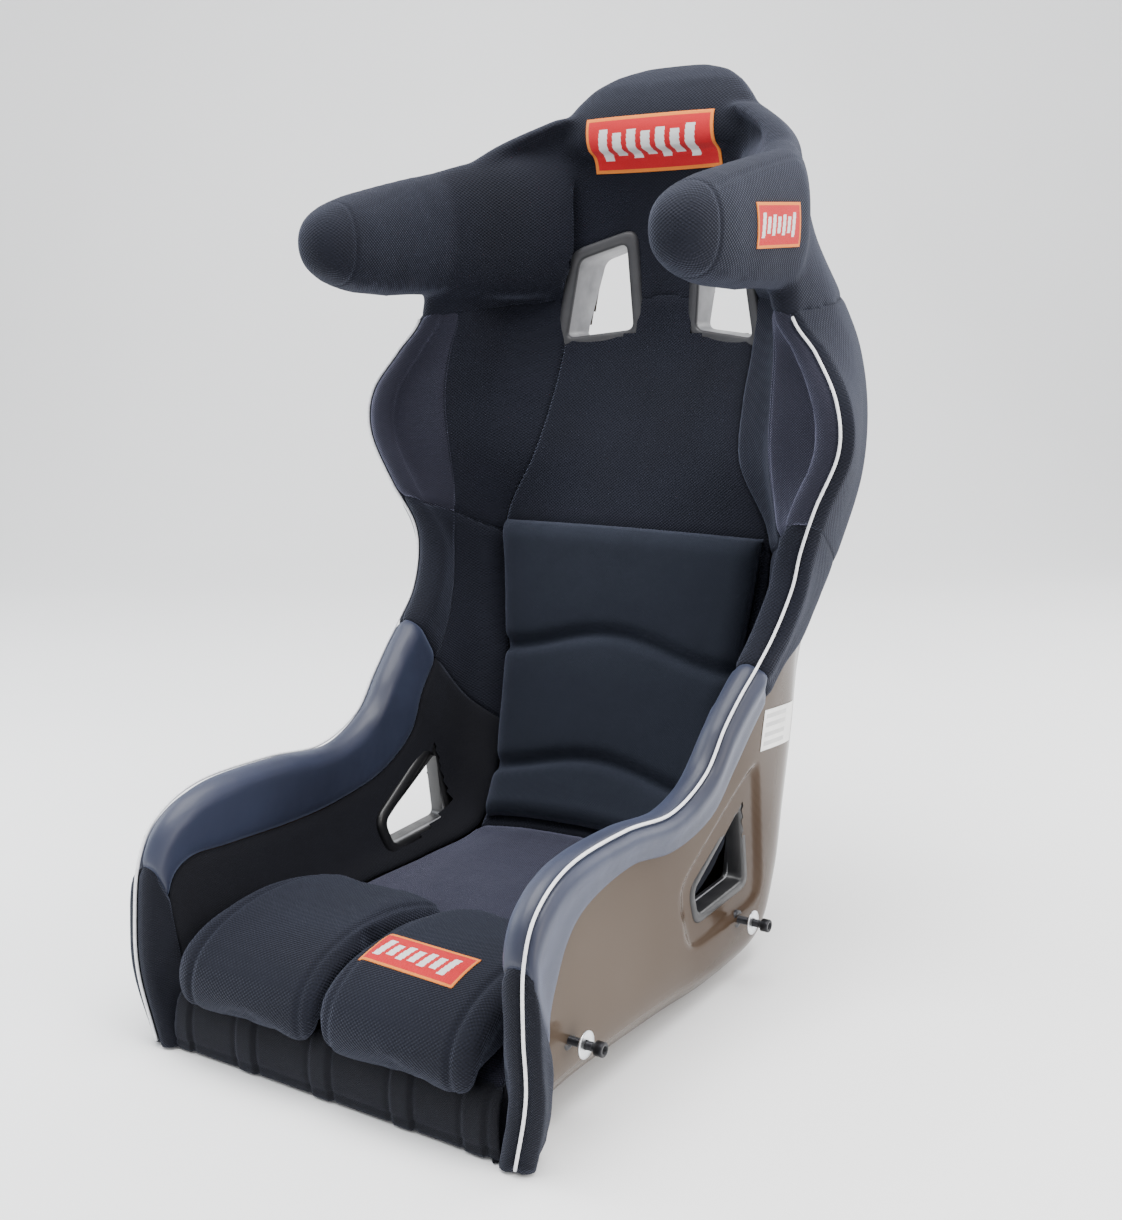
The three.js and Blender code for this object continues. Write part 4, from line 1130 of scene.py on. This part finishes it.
def draped(name, surface, centre, across, up, size, toward, lift, paint, materials, thickness=0.9):
    """A thin rectangle laid on a surface. `paint` picks a material from each cell's place."""
    w, h = size
    s = np.linspace(-w / 2, w / 2, int(w / PATCH_PITCH) + 1)
    t = np.linspace(-h / 2, h / 2, int(h / PATCH_PITCH) + 1)
    across, up, toward = Vector(across).normalized(), Vector(up).normalized(), Vector(toward).normalized()
    verts = []
    for b in t:
        for a in s:
            at = Vector(centre) * MM + across * a * MM + up * b * MM
            hit = surface.ray_cast(at - toward * 0.08, toward)[0]
            verts.append((hit if hit else at) - toward * lift * MM)
    obj = make_mesh(name, verts, quads(len(t), len(s)))
    for material in materials:
        obj.data.materials.append(material)
    ss, tt = (s[:-1] + s[1:]) / 2, (t[:-1] + t[1:]) / 2
    cells = [paint(a, b, w, h) for b in tt for a in ss]
    obj.data.polygons.foreach_set("material_index", cells)
    solidify = obj.modifiers.new("thickness", "SOLIDIFY")
    solidify.thickness = thickness * MM
    solidify.offset = -1.0
    return obj


RED, ORANGE, WHITE = range(3)
BARS = (0.27, 0.19, 0.23, 0.19, 0.23, 0.19, 0.27)  # half-heights of the bars, by the badge's height
BAR_WIDTH = 0.62  # of a bar's step
BAR_ROW = 0.8  # of the badge's width
FILM, PRINT = range(2)


def badge_paint(a, b, w, h):
    """A slanted row of bars, with an orange border."""
    if min(w / 2 - abs(a), h / 2 - abs(b)) < 0.055 * h + 0.6:
        return ORANGE
    lean = (a - 0.18 * b) / w
    if abs(lean) >= BAR_ROW / 2:
        return RED
    step = (lean + BAR_ROW / 2) / BAR_ROW * len(BARS)
    bar = int(step)
    tall = BARS[min(bar, len(BARS) - 1)]
    return WHITE if step - bar < BAR_WIDTH and abs(b) < tall * h else RED


def label_paint(a, b, w, h):
    """Plain strips in place of print."""
    printed = abs(b) < 0.4 * h and abs(a) < 0.44 * w and a < 0.2 * w
    return PRINT if printed and int((b / h + 0.5) * 9) % 2 else FILM


badge_materials = [MAT[key] for key in ("red", "orange", "white")]
crown_badge = draped("crown_badge", head_surface, (0, 246, 846), (1, 0, 0), (0, 0.12, 1), (156, 54),
                     (0, 1, -0.1), 1.0, badge_paint, badge_materials)
finish_piece(crown_badge, ["crown_patch"])
for label, side in SIDES:
    badge = draped(f"wing_badge_{label}", head_surface, (side * 245, 60, 745), (0, side, 0.04), (0, -0.04, 1),
                   (86, 40), (-side, 0, 0), 1.0, badge_paint, badge_materials)
    finish_piece(badge, [f"wing_patch_{label}"])
badge = draped("cushion_badge", surface_of(thigh_cushions["right"]), (69, -280, 128), (1, -0.03, 0),
               (0.03, 1, 0), (104, 41), (0, 0, -1), 0.8, badge_paint, badge_materials)
finish_piece(badge, ["cushion_patch"], "thigh_cushion_right")

grey_print = Look("label_print", Roughness=0.5)
shade = grey_print.noise(60.0)
grey_print.feed("Base Color", grey_print.ramp(shade, (0.5, 0.5, 0.5), (0.62, 0.62, 0.61), 0.3, 0.7))
blank_label = draped("blank_label", surface_of(shell), (215, 142, 253), (0, 1, -0.12), (0, 0.12, 1), (84, 42),
                     (-1, 0, 0), 0.6, label_paint, [MAT["film"], grey_print.material], 0.3)
finish_piece(blank_label, ["approval_label"])

# ---- carried-over CAD nodes ----
HIDDEN = {"mount_plate_right": "steel", "mount_plate_left": "steel", "crotch_slot_bezel": "black_plastic"}
for node, key in HIDDEN.items():
    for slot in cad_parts[node].material_slots:
        slot.material = MAT[key]


# ---- stage, light and camera ----
STAGE_SIZE, STAGE_BEND, STAGE_ROUND, STAGE_TOP = 6.0, 2.2, 1.2, 5.0


def build_stage():
    """A floor that bends up behind the seat, square to the camera."""
    profile = [(-STAGE_SIZE, 0.0)] + [(y, 0.0) for y in np.linspace(-4, STAGE_BEND, 8)]
    for a in np.radians(np.arange(10, 91, 10)):
        profile.append((STAGE_BEND + STAGE_ROUND * math.sin(a), STAGE_ROUND * (1 - math.cos(a))))
    profile.append((STAGE_BEND + STAGE_ROUND, STAGE_TOP))
    angle = math.radians(33.0)
    along = np.array([math.cos(angle), math.sin(angle)])
    away = np.array([-math.sin(angle), math.cos(angle)])
    verts = []
    for y, z in profile:
        for x in (-STAGE_SIZE, STAGE_SIZE):
            verts.append((*(along * x + away * y), z - 0.001))
    backdrop = make_mesh("backdrop", verts, quads(len(profile), 2))
    paper = Look("paper", Roughness=0.9)
    paper.feed("Base Color", paper.ramp(paper.noise(2.0), (0.93, 0.93, 0.93), (0.95, 0.95, 0.95), 0.3, 0.7))
    backdrop.data.materials.append(paper.material)
    backdrop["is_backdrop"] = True


def area_light(name, place, target, size, power, color=(1, 1, 1)):
    light = bpy.data.lights.new(name, "AREA")
    light.shape = "RECTANGLE"
    light.size, light.size_y = size
    light.energy = power
    light.color = color
    obj = bpy.data.objects.new(name, light)
    obj.location = place
    obj.rotation_euler = (Vector(target) - Vector(place)).to_track_quat("-Z", "Y").to_euler()
    bpy.context.collection.objects.link(obj)


def build_light():
    world = bpy.data.worlds.new("studio")
    world.use_nodes = True
    background = world.node_tree.nodes["Background"]
    background.inputs["Color"].default_value = (0.95, 0.97, 1.0, 1)
    background.inputs["Strength"].default_value = 0.9
    bpy.context.scene.world = world
    middle = (0, 0, 0.45)
    area_light("overhead", (0.2, -0.3, 2.6), middle, (2.2, 1.8), 135)
    area_light("left_soft", (-2.2, -0.6, 1.5), middle, (1.4, 1.8), 45, (0.9, 0.95, 1.0))
    area_light("right_soft", (2.4, -0.4, 1.1), middle, (1.2, 1.6), 40, (1.0, 0.95, 0.9))
    area_light("rear_strip", (1.2, 2.0, 1.3), middle, (1.6, 1.2), 35)


CAMERA_AT = (0.836, -1.2183, 0.684)
CAMERA_AZIMUTH, CAMERA_ELEVATION, CAMERA_TILT = np.radians([33.11, 10.36, 1.6])
CAMERA_LENS, CAMERA_SENSOR = 44.498, 36.0


def build_camera():
    az, el, tilt = CAMERA_AZIMUTH, CAMERA_ELEVATION, CAMERA_TILT
    turn = Matrix(((1, 0, 0), (0, math.cos(tilt), math.sin(tilt)), (0, -math.sin(tilt), math.cos(tilt))))
    ahead = turn @ Vector((-math.sin(az) * math.cos(el), math.cos(az) * math.cos(el), -math.sin(el)))
    right = turn @ Vector((math.cos(az), math.sin(az), 0))
    above = right.cross(ahead)
    camera = bpy.data.objects.new("camera", bpy.data.cameras.new("camera"))
    camera.data.sensor_fit = "VERTICAL"
    camera.data.sensor_height = CAMERA_SENSOR
    camera.data.lens = CAMERA_LENS
    camera.data.clip_start = 0.05
    rotation = Matrix((right, above, -ahead)).transposed().to_4x4()
    camera.matrix_world = Matrix.Translation(CAMERA_AT) @ rotation
    bpy.context.collection.objects.link(camera)
    bpy.context.scene.camera = camera


build_stage()
build_light()
build_camera()

size = {"cad": [list(map(float, c)) for c in cad_bounds],
        "visual": [list(map(float, c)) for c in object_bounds()]}
